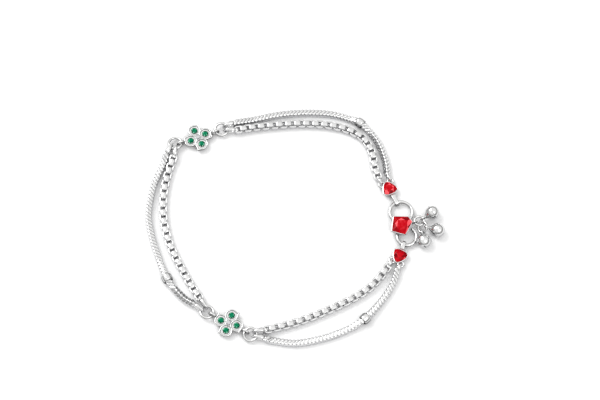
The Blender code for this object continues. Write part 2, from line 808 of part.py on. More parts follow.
def build_clasp():
    matrix = Matrix.Translation(plan(CLASP_CENTRE))
    stone = halved(clasp_outline())
    pocket = grown(stone, STONE_GAP)
    hook = plate("s_hook", [grown(pocket, CLASP_WALL)], CLASP_BASE, CLASP_RIM, matrix)
    above = CLASP_RIM + CLASP_WALL
    combine(hook, [plate("pocket", [pocket], CLASP_POCKET_FLOOR, above, matrix)], "DIFFERENCE")
    toward = heading(BELL_RING_HEADINGS[0])
    ear_middle = plan(CLASP_CENTRE, BELL_RING_LEVEL)
    ear_middle += toward * (BELL_EAR_INNER + BELL_EAR_LENGTH / 2)
    ear = long_ring(
        "bell_ear", BELL_EAR_LENGTH, BELL_EAR_HEIGHT, BELL_EAR_WIRE, placed(ear_middle, toward)
    )
    combine(hook, [hook_wire(), ear], "UNION")
    culet = CLASP_POCKET_FLOOR + STONE_GAP
    add("clasp_stone", cut_stone("clasp_stone", stone, culet, CLASP_GIRDLE, CLASP_TABLE), RED, matrix)


def bell_ring_frames():
    """The two rings' frames, each with X along its heading, and each one's wire in the last."""
    frames = []
    ear_wire_at = BELL_EAR_INNER + BELL_EAR_LENGTH - BELL_EAR_WIRE / 2
    place = plan(CLASP_CENTRE, BELL_RING_LEVEL) + heading(BELL_RING_HEADINGS[0]) * ear_wire_at
    wire_before = BELL_EAR_WIRE
    for ring, degrees in zip((BELL_RING_1, BELL_RING_2), BELL_RING_HEADINGS):
        radius = (ring["diameter"] - ring["wire"]) / 2
        pull = radius - (ring["wire"] + wire_before) / 2 - LINK_GAP
        centre = place + heading(degrees) * pull
        frames.append(placed(centre, heading(degrees)) @ Matrix.Rotation(ring["tilt"], 4, "X"))
        wire_before = ring["wire"]
        if len(frames) < 2:
            place = centre + heading(BELL_RING_HEADINGS[1]) * radius
    return frames


def bell_mesh():
    """A hollow ball with a seam, a slit opposite its neck, and a loop on the neck, along -X."""
    radius = BELL_DIAMETER / 2
    ball = bmesh.new()
    bmesh.ops.create_uvsphere(ball, u_segments=BELL_STEPS, v_segments=BELL_BANDS, radius=radius)
    bell = add("bell", finished(ball, "bell"))
    bell.data.transform(Matrix.Rotation(math.pi / 2, 4, "Y"))
    sideways = Matrix.Rotation(math.pi / 2, 4, "Y")
    seam_outline = circle_outline(radius + BELL_SEAM, BELL_STEPS)
    seam = plate("seam", [seam_outline], -BELL_SEAM_WIDTH / 2, BELL_SEAM_WIDTH / 2, sideways)
    loop_middle = -(radius + BELL_NECK + (BELL_LOOP_DIAMETER - BELL_LOOP_WIRE) / 2)
    on_edge = Matrix.Translation((loop_middle, 0, 0)) @ Matrix.Rotation(math.pi / 2, 4, "X")
    loop = round_ring("loop", BELL_LOOP_DIAMETER, BELL_LOOP_WIRE, on_edge, LOOP_STEPS, LOOP_SIDES)
    length = BELL_NECK + BELL_NECK_SINK
    flare = bmesh.new()
    bmesh.ops.create_cone(
        flare, cap_ends=True, segments=BELL_STEPS,
        radius1=BELL_NECK_RADIUS, radius2=BELL_FLARE_RADIUS, depth=length,
    )
    neck_middle = Matrix.Translation((-radius - BELL_NECK + length / 2, 0, 0))
    neck = add("neck", finished(flare, "neck"), matrix=neck_middle @ sideways)
    combine(bell, [seam, neck, loop], "UNION")
    hollow = bmesh.new()
    inner = radius - BELL_WALL
    bmesh.ops.create_uvsphere(hollow, u_segments=BELL_STEPS, v_segments=BELL_BANDS, radius=inner)
    hollow_ball = add("hollow", finished(hollow, "hollow"))
    slit_outline = [(0, -radius), (2 * radius, -radius), (2 * radius, radius), (0, radius)]
    slit_start = Matrix.Translation((radius / 3, 0, 0))
    slit = plate("slit", [slit_outline], -BELL_SLIT / 2, BELL_SLIT / 2, slit_start)
    combine(bell, [hollow_ball, slit], "DIFFERENCE")
    return taken_mesh(bell)


def bell_frame(ring, ring_frame, degrees):
    """The frame of a bell that pulls on its ring towards a heading and rests on the surface."""
    toward = heading(degrees)
    local = ring_frame.to_3x3().inverted() @ toward
    angle = math.atan2(local.y / math.cos(ring["tilt"]) ** 2, local.x)
    outwards = ring_frame.to_3x3() @ Vector((math.cos(angle), math.sin(angle), 0))
    tangent = ring_frame.to_3x3() @ Vector((-math.sin(angle), math.cos(angle), 0))
    ring_radius = (ring["diameter"] - ring["wire"]) / 2
    place = ring_frame.translation + outwards * ring_radius
    pull = (ring["wire"] + BELL_LOOP_WIRE) / 2 + LINK_GAP
    reach = BELL_LOOP_DIAMETER - BELL_LOOP_WIRE - pull + BELL_NECK + BELL_DIAMETER / 2
    rise = (BELL_LEVEL - place.z) / reach
    along = (toward * math.sqrt(1 - rise**2) + Vector((0, 0, rise))).normalized()
    across = (tangent - along * tangent.dot(along)).normalized()
    axes = Matrix((along, across, along.cross(across))).transposed()
    return Matrix.Translation(place + along * reach) @ axes.to_4x4()


def build_bells():
    rings = (BELL_RING_1, BELL_RING_2)
    frames = bell_ring_frames()
    for number, (ring, frame) in enumerate(zip(rings, frames)):
        name = f"bell_ring_{number + 1}"
        round_ring(name, ring["diameter"], ring["wire"], frame)
    mesh = bell_mesh()
    for name, number, degrees in BELLS:
        add(name, mesh, SILVER, bell_frame(rings[number], frames[number], degrees))


def centre_on_origin():
    """Hang every piece on one empty, and move it so that the plan is centred on the origin."""
    bpy.context.view_layer.update()
    pieces = list(ANKLET.objects)
    corners = [piece.matrix_world @ vertex.co for piece in pieces for vertex in piece.data.vertices]
    lowest = [min(corner[axis] for corner in corners) for axis in (0, 1)]
    highest = [max(corner[axis] for corner in corners) for axis in (0, 1)]
    middle = [(low + high) / 2 for low, high in zip(lowest, highest)]
    anklet = bpy.data.objects.new("anklet", None)
    ANKLET.objects.link(anklet)
    anklet.location = (-middle[0], -middle[1], 0)
    for piece in pieces:
        piece.parent = anklet
        piece.data.shade_smooth()
        piece.data.set_sharp_from_angle(angle=SHARP_ANGLE)
    print("moved by", [round(1000 * value, 3) for value in anklet.location])


build_flowers()
build_jump_rings()
for strand_name in STRAND_ENDS:
    build_snake_strand(strand_name)
    build_box_strand(strand_name)
for setting_side in END_SETTINGS:
    build_end_setting(setting_side)
build_clasp()
build_bells()
centre_on_origin()
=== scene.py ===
# %% [markdown]
# # A payal that lies closed on a white ground
#
# A payal is an ankle chain. This one has two strands, a ribbed snake chain outside and a box
# chain inside, that run between two cast flowers and meet at a small S hook with red stones
# and bells. The solids that carry it are loaded first, because every finished piece has to
# lie where its solid lies.
# %% Load the solids
import json
import math

import bmesh
import bpy
import numpy as np
from mathutils import Matrix, Vector
from mathutils.geometry import interpolate_bezier

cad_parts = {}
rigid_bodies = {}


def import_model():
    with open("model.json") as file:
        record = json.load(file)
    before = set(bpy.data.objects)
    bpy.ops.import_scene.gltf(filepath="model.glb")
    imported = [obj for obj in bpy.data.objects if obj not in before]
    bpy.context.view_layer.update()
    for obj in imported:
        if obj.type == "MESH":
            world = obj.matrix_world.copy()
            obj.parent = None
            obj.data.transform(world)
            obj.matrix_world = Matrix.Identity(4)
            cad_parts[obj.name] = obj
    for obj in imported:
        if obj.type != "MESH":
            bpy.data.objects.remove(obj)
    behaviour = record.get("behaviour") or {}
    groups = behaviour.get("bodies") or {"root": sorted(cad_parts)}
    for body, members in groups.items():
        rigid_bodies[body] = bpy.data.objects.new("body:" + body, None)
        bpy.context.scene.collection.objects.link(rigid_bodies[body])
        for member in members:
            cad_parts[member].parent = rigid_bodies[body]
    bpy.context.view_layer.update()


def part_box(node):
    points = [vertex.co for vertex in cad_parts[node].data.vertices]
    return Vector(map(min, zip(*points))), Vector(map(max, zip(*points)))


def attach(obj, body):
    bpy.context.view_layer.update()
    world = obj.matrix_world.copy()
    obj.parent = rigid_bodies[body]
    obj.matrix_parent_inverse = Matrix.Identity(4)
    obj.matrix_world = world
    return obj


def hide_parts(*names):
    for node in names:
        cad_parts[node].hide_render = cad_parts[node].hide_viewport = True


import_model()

# %% [markdown]
# ## The plan
#
# The anklet is drawn in plan like a map, in millimetres: X runs to the right and Y away from
# the viewer. A few chosen places give each strand its curve. Written once here, they serve
# the flowers, rings, chains and hook alike, so that a piece can't come loose from the next.
# %% Places in plan
MM = 0.001
FLOWERS = {
    "back": {"centre": (-32.0, 30.35), "axis": 19},
    "front": {"centre": (-21.0, -34.1), "axis": -28},
}
JUMP_RINGS = {
    "back_right": {"flower": "back", "end": 1, "heading": 30, "slack": 0.0},
    "back_left": {"flower": "back", "end": -1, "heading": 184, "slack": 0.5 * MM},
    "front_left": {"flower": "front", "end": -1, "heading": 150, "slack": 0.3 * MM},
    "front_right": {"flower": "front", "end": 1, "heading": -30, "slack": 0.5 * MM},
}
UPPER_LOOP = {"centre": (34.1, 3.95), "diameter": 8.4 * MM}
LOWER_LOOP = {"centre": (35.75, -4.45), "diameter": 7.3 * MM}
CLASP_CENTRE = (34.2, -1.25)
END_SETTINGS = {
    "back": {"centre": (30.45, 12.05), "apex": 115, "loop": UPPER_LOOP},
    "front": {"centre": (33.35, -11.25), "apex": 243, "loop": LOWER_LOOP},
}
STRAND_ENDS = {
    "back": ("back_right", "setting_back"),
    "left": ("back_left", "front_left"),
    "front": ("front_right", "setting_front"),
}
print("strands:", ", ".join(STRAND_ENDS))

# %% [markdown]
# The chains lie in free curves, so each route is a row of places read from the photograph. A
# snake chain's route also names the place of its slider bead, and says whether the square of
# the chain turns onto its corner after the bead.
# %% Routes of the strands
SNAKE_ROUTES = {
    "back": {
        "before": [(-13.4, 37.0), (-5.1, 38.8), (3.4, 39.5), (11.7, 39.0), (17.6, 37.3)],
        "bead": (21.2, 35.6),
        "after": [(25.6, 31.0), (27.9, 26.6), (29.4, 21.6)],
        "turned": True,
    },
    "left": {
        "before": [(-43.1, 21.2), (-46.0, 13.4), (-47.4, 3.6), (-46.4, -3.6), (-43.7, -12.1)],
        "bead": (-40.9, -19.0),
        "after": [(-38.2, -22.8), (-35.0, -26.0)],
        "turned": True,
    },
    "front": {
        "before": [(-7.7, -39.7), (0.3, -40.6), (8.4, -39.1), (16.5, -36.1)],
        "bead": (22.0, -32.6),
        "after": [(27.9, -25.8), (31.4, -20.0)],
        "turned": False,
    },
}
BOX_ROUTES = {
    "back": [(-14.0, 34.0), (-5.0, 35.0), (3.4, 35.4), (11.8, 34.7), (17.6, 33.0),
             (22.3, 30.0), (25.0, 25.0), (25.9, 19.5)],
    "left": [(-41.0, 19.2), (-42.4, 12.4), (-42.8, 5.5), (-42.0, -1.0), (-40.2, -7.4),
             (-37.0, -14.2), (-33.4, -20.8)],
    "front": [(-7.7, -36.0), (0.3, -33.8), (8.4, -30.6), (16.5, -26.7), (22.7, -22.9),
              (26.6, -19.0)],
}
for strand, places in BOX_ROUTES.items():
    print(strand, "box chain:", len(places), "places")

# %% [markdown]
# The solids were moved as one so that their middle is on the origin. The middle of a flower's
# centre stone shows by how much, and from then on a place of the plan is a place of the scene.
# %% From the plan to the scene
stone_low, stone_high = (Vector(corner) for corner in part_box("centre_stone_front"))
PLAN_SHIFT = (stone_low + stone_high) / 2 - MM * Vector((*FLOWERS["front"]["centre"], 0))
PLAN_SHIFT.z = 0


def plan(point, height=0.0):
    return Vector((point[0] * MM, point[1] * MM, height)) + PLAN_SHIFT


def heading(degrees):
    angle = math.radians(degrees)
    return Vector((math.cos(angle), math.sin(angle), 0))


def left_of(direction):
    return Vector((-direction.y, direction.x, 0))


def level(direction):
    return Vector((direction.x, direction.y, 0)).normalized()


def placed(location, direction):
    """A frame at a place, with X along a level direction and Z up."""
    turn = Matrix.Rotation(math.atan2(direction.y, direction.x), 4, "Z")
    return Matrix.Translation(location) @ turn


print("plan moved by", [round(value / MM, 3) for value in PLAN_SHIFT], "mm")

# %% [markdown]
# ## Shapes as rings of points
#
# Nearly every piece of a chain is a section carried along a path: a wire ring is a circle
# carried round a circle, and a bead is an outline carried round an axis. Blender can bevel a
# curve, but its section stays round and upright. Rings of points, joined with faces by one
# short helper, also give flat bands, ribs and rims, and stay quick for thousands of links.
# %% Join rings of points
def turns(count):
    """Angles that divide a full turn, in order."""
    return [2 * math.pi * i / count for i in range(count)]


def on_circle(radius, angle):
    return radius * math.cos(angle), radius * math.sin(angle)


def joined_rings(rings, closed=False):
    """The points and faces of a skin over rings of equal size; an open one gets its two caps."""
    rings = np.asarray(rings, float)
    count, sides = rings.shape[:2]
    index = np.arange(count * sides).reshape(count, sides)
    near = index if closed else index[:-1]
    far = np.roll(index, -1, axis=0) if closed else index[1:]
    walls = np.stack([near, np.roll(near, -1, 1), np.roll(far, -1, 1), far], axis=-1)
    faces = walls.reshape(-1, 4).tolist()
    if not closed:
        faces += [index[0, ::-1].tolist(), index[-1].tolist()]
    return rings.reshape(-1, 3), faces


def moved(shape, matrix):
    points, faces = shape
    matrix = np.array(matrix)
    return points @ matrix[:3, :3].T + matrix[:3, 3], faces


def together(shapes):
    """Several shapes as one."""
    points, faces, start = [], [], 0
    for shape_points, shape_faces in shapes:
        points.append(shape_points)
        faces += [[start + corner for corner in face] for face in shape_faces]
        start += len(shape_points)
    return np.concatenate(points), faces


print("a square tube has", len(joined_rings(np.zeros((5, 4, 3)))[1]), "faces with its caps")


def mesh_of(name, shape, sharp=35):
    points, faces = shape
    mesh = bpy.data.meshes.new(name)
    mesh.from_pydata(points.tolist(), [], faces)
    bm = bmesh.new()
    bm.from_mesh(mesh)
    bmesh.ops.remove_doubles(bm, verts=bm.verts, dist=0.0005 * MM)
    bmesh.ops.recalc_face_normals(bm, faces=bm.faces)
    bm.to_mesh(mesh)
    bm.free()
    mesh.shade_smooth()
    mesh.set_sharp_from_angle(angle=math.radians(sharp))
    return mesh


def piece(name, mesh, material, stands_for, matrix=None):
    made = bpy.data.objects.new(name, mesh)
    bpy.context.scene.collection.objects.link(made)
    if matrix is not None:
        made.matrix_world = matrix
    if not mesh.materials:
        mesh.materials.append(material)
    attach(made, "root")
    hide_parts(*stands_for)
    return made


# %% [markdown]
# ## Silver
#
# New silver is nearly white, and what it shows is its surroundings. Fine scratches from
# polishing spread its highlights, and grey tarnish stays in hollows that a cloth can't reach.
# The grey is also painted shade, because the white room leaves hollows and steep sides too
# bright. Every silver finish has the marks and this grey, so each is a node group built once.
# %% Polishing marks
def new_group(name, inputs, outputs):
    """An empty shader node group; inputs give names, kinds and defaults."""
    group = bpy.data.node_groups.new(name, "ShaderNodeTree")
    for label, kind, value in inputs:
        socket = group.interface.new_socket(name=label, in_out="INPUT", socket_type=kind)
        socket.default_value = value
    for label, kind in outputs:
        group.interface.new_socket(name=label, in_out="OUTPUT", socket_type=kind)
    start = group.nodes.new("NodeGroupInput")
    end = group.nodes.new("NodeGroupOutput")
    return group, start, end


def polishing_marks():
    """Noise stretched into fine marks: a roughness that varies and a height for a Bump."""
    group, start, end = new_group(
        "polishing_marks",
        [
            ("Scale", "NodeSocketFloat", 900.0),
            ("Least", "NodeSocketFloat", 0.12),
            ("Most", "NodeSocketFloat", 0.26),
        ],
        [("Roughness", "NodeSocketFloat"), ("Height", "NodeSocketFloat")],
    )
    nodes, links = group.nodes, group.links
    place = nodes.new("ShaderNodeTexCoord")
    stretch = nodes.new("ShaderNodeMapping")
    stretch.inputs["Scale"].default_value = (1.0, 0.35, 1.0)
    stretch.inputs["Rotation"].default_value = (0.3, 0.2, 0.7)
    noise = nodes.new("ShaderNodeTexNoise")
    noise.inputs["Detail"].default_value = 5.0
    span = nodes.new("ShaderNodeMapRange")
    links.new(place.outputs["Object"], stretch.inputs["Vector"])
    links.new(stretch.outputs["Vector"], noise.inputs["Vector"])
    links.new(start.outputs["Scale"], noise.inputs["Scale"])
    links.new(noise.outputs["Fac"], span.inputs["Value"])
    links.new(start.outputs["Least"], span.inputs["To Min"])
    links.new(start.outputs["Most"], span.inputs["To Max"])
    links.new(span.outputs["Result"], end.inputs["Roughness"])
    links.new(noise.outputs["Fac"], end.inputs["Height"])
    return group


MARKS = polishing_marks()
print("group", MARKS.name, "with", len(MARKS.nodes), "nodes")

# %% [markdown]
# The grey follows how closed-in a place is, and is partly tarnish and partly painted shade.
# Ambient occlusion measures that for any shape, so one group serves ribs, links, cups and the
# floor of the petals. Steep sides get a painted shade too, as they would face the dim room, and
# this outlines each wire.
# %% Tarnish and painted shade
OPEN_SKY = 0.9  # share of unblocked sky where the bloom starts
CLOSED_SKY = 0.35  # and where it is full
LEVEL_NORMAL = 0.78  # a normal's Z where a side starts to count as steep
STEEP_NORMAL = 0.2


def tarnish_and_painted_shade():
    """Mixes from the open colour to the hollow one: tarnish and painted shade where closed in,
    painted shade where steep.
    """
    group, start, end = new_group(
        "tarnish_and_painted_shade",
        [
            ("Open", "NodeSocketColor", (0.77, 0.77, 0.765, 1)),
            ("Hollow", "NodeSocketColor", (0.35, 0.35, 0.36, 1)),
            ("Reach", "NodeSocketFloat", 0.6 * MM),
            ("Strength", "NodeSocketFloat", 1.0),
            ("Sides", "NodeSocketFloat", 1.0),
        ],
        [("Color", "NodeSocketColor")],
    )
    nodes, links = group.nodes, group.links
    # tarnish and painted shade where the surface is closed in
    closed = nodes.new("ShaderNodeAmbientOcclusion")
    closed.samples = 8
    closed.only_local = True
    curve = nodes.new("ShaderNodeMapRange")
    curve.inputs["From Min"].default_value = OPEN_SKY
    curve.inputs["From Max"].default_value = CLOSED_SKY
    amount = nodes.new("ShaderNodeMath")
    amount.operation = "MULTIPLY"
    amount.use_clamp = True
    links.new(start.outputs["Reach"], closed.inputs["Distance"])
    links.new(closed.outputs["AO"], curve.inputs["Value"])
    links.new(curve.outputs["Result"], amount.inputs[0])
    links.new(start.outputs["Strength"], amount.inputs[1])
    # painted shade on steep sides, which darkens the outline of each wire
    surface = nodes.new("ShaderNodeNewGeometry")
    axes = nodes.new("ShaderNodeSeparateXYZ")
    steep = nodes.new("ShaderNodeMapRange")
    steep.interpolation_type = "SMOOTHSTEP"
    steep.inputs["From Min"].default_value = LEVEL_NORMAL
    steep.inputs["From Max"].default_value = STEEP_NORMAL
    links.new(surface.outputs["Normal"], axes.inputs["Vector"])
    links.new(axes.outputs["Z"], steep.inputs["Value"])
    links.new(start.outputs["Sides"], steep.inputs["To Max"])
    most = nodes.new("ShaderNodeMath")
    most.operation = "MAXIMUM"
    links.new(amount.outputs["Value"], most.inputs[0])
    links.new(steep.outputs["Result"], most.inputs[1])
    mix = nodes.new("ShaderNodeMix")
    mix.data_type = "RGBA"
    links.new(most.outputs["Value"], mix.inputs["Factor"])
    links.new(start.outputs["Open"], mix.inputs["A"])
    links.new(start.outputs["Hollow"], mix.inputs["B"])
    links.new(mix.outputs["Result"], end.inputs["Color"])
    return group


TARNISH_AND_SHADE = tarnish_and_painted_shade()
print("group", TARNISH_AND_SHADE.name, "with", len(TARNISH_AND_SHADE.nodes), "nodes")

# %% [markdown]
# Four silvers differ only in numbers. Wire is drawn and polished, chain links are tumbled and
# a little softer, and the cast flowers keep a grain on their sunk floors. The bells are thin
# and round, and their hollows stay lighter. Each finish is: least and most roughness, height
# of the marks, grey of the hollows (tarnish and painted shade), how far they reach, how
# strongly the hollows show, and how strongly the painted shade on steep sides shows.
# %% Silver finishes
def silver(name, least, most, bump, hollow, reach, strength, sides=1.0):
    material = bpy.data.materials.new(name)
    material.use_nodes = True
    nodes, links = material.node_tree.nodes, material.node_tree.links
    shader = nodes["Principled BSDF"]
    shader.inputs["Metallic"].default_value = 1.0
    marks = nodes.new("ShaderNodeGroup")
    marks.node_tree = MARKS
    marks.inputs["Least"].default_value = least
    marks.inputs["Most"].default_value = most
    # grey of hollows (tarnish and painted shade) and of steep sides (painted shade)
    tarnish_and_shade = nodes.new("ShaderNodeGroup")
    tarnish_and_shade.node_tree = TARNISH_AND_SHADE
    tarnish_and_shade.inputs["Hollow"].default_value = (hollow, hollow, hollow * 1.02, 1)
    for label, value in (("Reach", reach), ("Strength", strength), ("Sides", sides)):
        tarnish_and_shade.inputs[label].default_value = value
    raised = nodes.new("ShaderNodeBump")
    raised.inputs["Strength"].default_value = 0.25
    raised.inputs["Distance"].default_value = bump
    links.new(marks.outputs["Roughness"], shader.inputs["Roughness"])
    links.new(marks.outputs["Height"], raised.inputs["Height"])
    links.new(raised.outputs["Normal"], shader.inputs["Normal"])
    links.new(tarnish_and_shade.outputs["Color"], shader.inputs["Base Color"])
    return material


WIRE_SILVER = silver("wire_silver", 0.06, 0.13, 0.002 * MM, 0.2, 0.4 * MM, 0.5)
CHAIN_SILVER = silver("chain_silver", 0.09, 0.18, 0.003 * MM, 0.6, 0.4 * MM, 0.35, 1.0)
CAST_SILVER = silver("cast_silver", 0.14, 0.26, 0.006 * MM, 0.2, 0.35 * MM, 0.45)
BELL_SILVER = silver("bell_silver", 0.08, 0.17, 0.002 * MM, 0.42, 0.4 * MM, 0.5, 0.85)
for finish in (WIRE_SILVER, CHAIN_SILVER, CAST_SILVER, BELL_SILVER):
    print("finish", finish.name)

# %% [markdown]
# ## Cut stones
#
# A cut stone flashes because its facets send light back inside it, some brightly and some
# not at all. Small stones in closed cups rarely show this well when the glass is simulated,
# so each facet is given its own share of light instead, by an attribute of its faces. The
# polish on top is kept faint, because strong reflections of a white room would pale the red.
# %% Stone glass
def stone_glass(name, dark, middle, bright):
    material = bpy.data.materials.new(name)
    material.use_nodes = True
    nodes, links = material.node_tree.nodes, material.node_tree.links
    shader = nodes["Principled BSDF"]
    shader.inputs["Roughness"].default_value = 0.05
    shader.inputs["Specular IOR Level"].default_value = 0.08
    facet = nodes.new("ShaderNodeAttribute")
    facet.attribute_name = "facet_light"
    depth = nodes.new("ShaderNodeTexNoise")
    depth.inputs["Scale"].default_value = 900.0
    place = nodes.new("ShaderNodeTexCoord")
    blend = nodes.new("ShaderNodeMix")
    blend.data_type = "FLOAT"
    blend.inputs["Factor"].default_value = 0.3
    ramp = nodes.new("ShaderNodeValToRGB")
    ramp.color_ramp.elements[0].position = 0.15
    ramp.color_ramp.elements[0].color = (*dark, 1)
    ramp.color_ramp.elements[1].position = 0.85
    ramp.color_ramp.elements[1].color = (*bright, 1)
    ramp.color_ramp.elements.new(0.55).color = (*middle, 1)
    links.new(place.outputs["Object"], depth.inputs["Vector"])
    links.new(facet.outputs["Fac"], blend.inputs["A"])
    links.new(depth.outputs["Fac"], blend.inputs["B"])
    links.new(blend.outputs["Result"], ramp.inputs["Fac"])
    links.new(ramp.outputs["Color"], shader.inputs["Base Color"])
    return material


RUBY = stone_glass("ruby_red_glass", (0.13, 0.0, 0.002), (0.50, 0.0, 0.006), (1.0, 0.11, 0.13))
EMERALD = stone_glass(
    "emerald_green_glass", (0.0, 0.045, 0.02), (0.0, 0.19, 0.085), (0.20, 0.66, 0.42)
)
WHITE_STONE = stone_glass(
    "white_stone", (0.30, 0.30, 0.31), (0.55, 0.55, 0.56), (0.98, 0.98, 1.0)
)
print("stones:", RUBY.name, EMERALD.name, WHITE_STONE.name)

# %% [markdown]
# ## Camera and light
#
# The photograph looks down steeply from the near side with a long lens, so distant links
# hardly shrink. The camera is set by where it looks, how far off it is and how steeply it
# looks down, which is easier to match to a picture than a place and three angles.
# %% Camera
CAMERA_DISTANCE = 649.2 * MM
CAMERA_ELEVATION = math.radians(67)
target = plan((1.45, 8.8))
away = Vector((0, -math.cos(CAMERA_ELEVATION), math.sin(CAMERA_ELEVATION)))
camera = bpy.data.objects.new("camera", bpy.data.cameras.new("camera"))
bpy.context.scene.collection.objects.link(camera)
camera.data.lens = 120
camera.data.sensor_width = 36
camera.data.clip_start = 0.01
camera.location = target + CAMERA_DISTANCE * away
camera.rotation_euler = (-away).to_track_quat("-Z", "Y").to_euler()
bpy.context.scene.camera = camera
print("camera at", [round(value, 4) for value in camera.location])

# %% [markdown]
# The anklet lies on white paper. A thin plate gives the paper a body, and its dull surface
# takes soft shadows without a mirror image of the silver.
# %% Ground
GROUND_REACH = 2
GROUND_PLACES = [
    (x * GROUND_REACH, y * GROUND_REACH) for x, y in ((-1, -1), (1, -1), (1, 1), (-1, 1))
]
ground_shape = joined_rings([[(x, y, z) for x, y in GROUND_PLACES] for z in (-0.002, 0)])
ground = bpy.data.objects.new("ground", mesh_of("ground", ground_shape))
bpy.context.scene.collection.objects.link(ground)
paper = bpy.data.materials.new("white_paper")
paper.use_nodes = True
paper_shader = paper.node_tree.nodes["Principled BSDF"]
paper_shader.inputs["Base Color"].default_value = (0.97, 0.97, 0.97, 1)
paper_shader.inputs["Roughness"].default_value = 0.9
paper_shader.inputs["Specular IOR Level"].default_value = 0.1
ground.data.materials.append(paper)
print("ground", [round(side, 2) for side in ground.dimensions])

# %% [markdown]
# The light is one wide soft source from the upper left with a weaker one from the right. The
# sky is dark at the horizon, brightest halfway up and a little greyer overhead, like a room
# with pale walls. Polished silver mirrors the dark part at its steep sides, which draws a grey
# edge along each wire.
# %% Sky and lamps
SKY_GREYS = ((0.0, 0.02), (0.6999, 1.0), (0.7, 0.7857), (1.0, 1.0))  # heights and greys
scene = bpy.context.scene
scene.view_settings.view_transform = "Standard"
sky = bpy.data.worlds.new("studio")
scene.world = sky
sky.use_nodes = True
sky_nodes, sky_links = sky.node_tree.nodes, sky.node_tree.links
direction = sky_nodes.new("ShaderNodeTexCoord")
parts = sky_nodes.new("ShaderNodeSeparateXYZ")
height = sky_nodes.new("ShaderNodeValToRGB")
stops = height.color_ramp.elements
stops[0].position, stops[1].position = SKY_GREYS[0][0], SKY_GREYS[-1][0]
for position, grey in SKY_GREYS[1:-1]:
    stops.new(position)
for stop, (position, grey) in zip(stops, SKY_GREYS):
    stop.color = (grey, grey, grey, 1)
sky_links.new(direction.outputs["Generated"], parts.inputs["Vector"])
sky_links.new(parts.outputs["Z"], height.inputs["Fac"])
sky_links.new(height.outputs["Color"], sky_nodes["Background"].inputs["Color"])
sky_nodes["Background"].inputs["Strength"].default_value = 1.12


def soft_lamp(name, place, size, power):
    lamp = bpy.data.objects.new(name, bpy.data.lights.new(name, "AREA"))
    scene.collection.objects.link(lamp)
    lamp.data.size = size
    lamp.data.energy = power
    lamp.location = place
    lamp.rotation_euler = (-Vector(place)).to_track_quat("-Z", "Y").to_euler()
    return lamp


soft_lamp("key_light", (-1.0, 0.75, 1.5), 1.0, 16.0)
soft_lamp("fill_light", (0.9, -0.9, 1.8), 1.2, 7.0)

# %% [markdown]
# ## Wire rings
#
# A jump ring is a piece of round wire bent into a circle and soldered shut. A torus would do,
# but the same sweep also gives the long rings at the ends of the strands, and a slight swell
# where the solder ran.
# %% Rings of round wire
SOLDER_REACH = 0.16  # of the joint along the ring, in radians


def round_section(place, across, radius, sides=18, squash=1.0):
    """A circle of points about a place, upright and along one level direction."""
    section = []
    for turn in turns(sides):
        out, up = on_circle(radius, turn)
        x, y = place[0] + across[0] * out, place[1] + across[1] * out
        section.append((x, y, place[2] + squash * up))
    return section


def wire_ring(diameter, wire, steps=56, sides=18, solder=0.06):
    """A flat ring in its own XY plane, with its solder joint on -X."""
    rings = []
    for angle in turns(steps):
        swell = 1 + solder * math.exp(-((abs(angle - math.pi) / SOLDER_REACH) ** 2))
        place = (*on_circle((diameter - wire) / 2, angle), 0)
        rings.append(round_section(place, on_circle(1, angle), wire / 2 * swell, sides))
    return joined_rings(rings, closed=True)


def lengthened(shape, by):
    """The two halves of a shape drawn apart along X."""
    points, faces = shape
    points = points.copy()
    points[:, 0] += np.where(points[:, 0] >= 0, 0.5, -0.5) * by
    return points, faces


def standing_ring(length, height, wire, matrix):
    """A long ring on edge along X."""
    ring = lengthened(wire_ring(height, wire, 40, 14), length - height)
    on_edge = Matrix.Rotation(math.pi / 2, 4, "X")
    return moved(moved(ring, on_edge), matrix)


print("a jump ring has", len(wire_ring(5 * MM, 0.85 * MM)[1]), "faces")

# %% [markdown]
# ## The flowers
#
# Each flower is one small casting: four round petals with a point at one side, all leaning
# the same way like a pinwheel. The outline is a part of a circle that runs out along two
# hollow curves. It is a function of its radius, so the body, its sunk floor and the rim can
# all follow the same outline at their own distance from the edge.
# %% Petal outlines
PETALS = 4
PETAL_RADIUS = 2.08 * MM
PETAL_REACH = 2.65 * MM
PETAL_TIP = 4.95 * MM
PETAL_TIP_TURN = math.radians(-29)
PETAL_LEAN = math.radians(9)
TIP_OPENING = 0.85  # share of the angle between the tip and its tangents
TIP_WAIST = 1.12  # where the hollow sides bend, in radii
TIP_SHARES = (0.3, 0.6, 0.88)
PETAL_CROWN = 0.04 * MM


def petal_outline(radius, points=36):
    """A round petal along +X that runs out in one hollow-sided point."""
    middle = Vector((PETAL_REACH, 0))
    tip = Vector(on_circle(PETAL_TIP, PETAL_TIP_TURN))
    to_tip = (tip - middle) * (radius / PETAL_RADIUS)
    tip_angle = math.atan2(to_tip.y, to_tip.x)
    open_angle = TIP_OPENING * math.acos(radius / to_tip.length)
    sweep = (2 * math.pi - 2 * open_angle) / points
    angles = [tip_angle + open_angle + i * sweep for i in range(points + 1)]
    round_part = [middle + Vector(on_circle(radius, angle)) for angle in angles]
    corner = middle + to_tip
    waist = middle + to_tip.normalized() * radius * TIP_WAIST
    sides = []
    for start in (round_part[-1], round_part[0]):
        pairs = [(start.lerp(waist, s), waist.lerp(corner, s), s) for s in TIP_SHARES]
        sides.append([near.lerp(far, s) for near, far, s in pairs])
    out, back = sides
    crown = (out[-1] + back[-1]) / 2 + to_tip.normalized() * PETAL_CROWN
    return round_part + out + [crown] + back[::-1]


def petal_turn(number):
    return Matrix.Rotation(PETAL_LEAN + number * 2 * math.pi / PETALS, 4, "Z")


print("a petal outline has", len(petal_outline(PETAL_RADIUS)), "points")

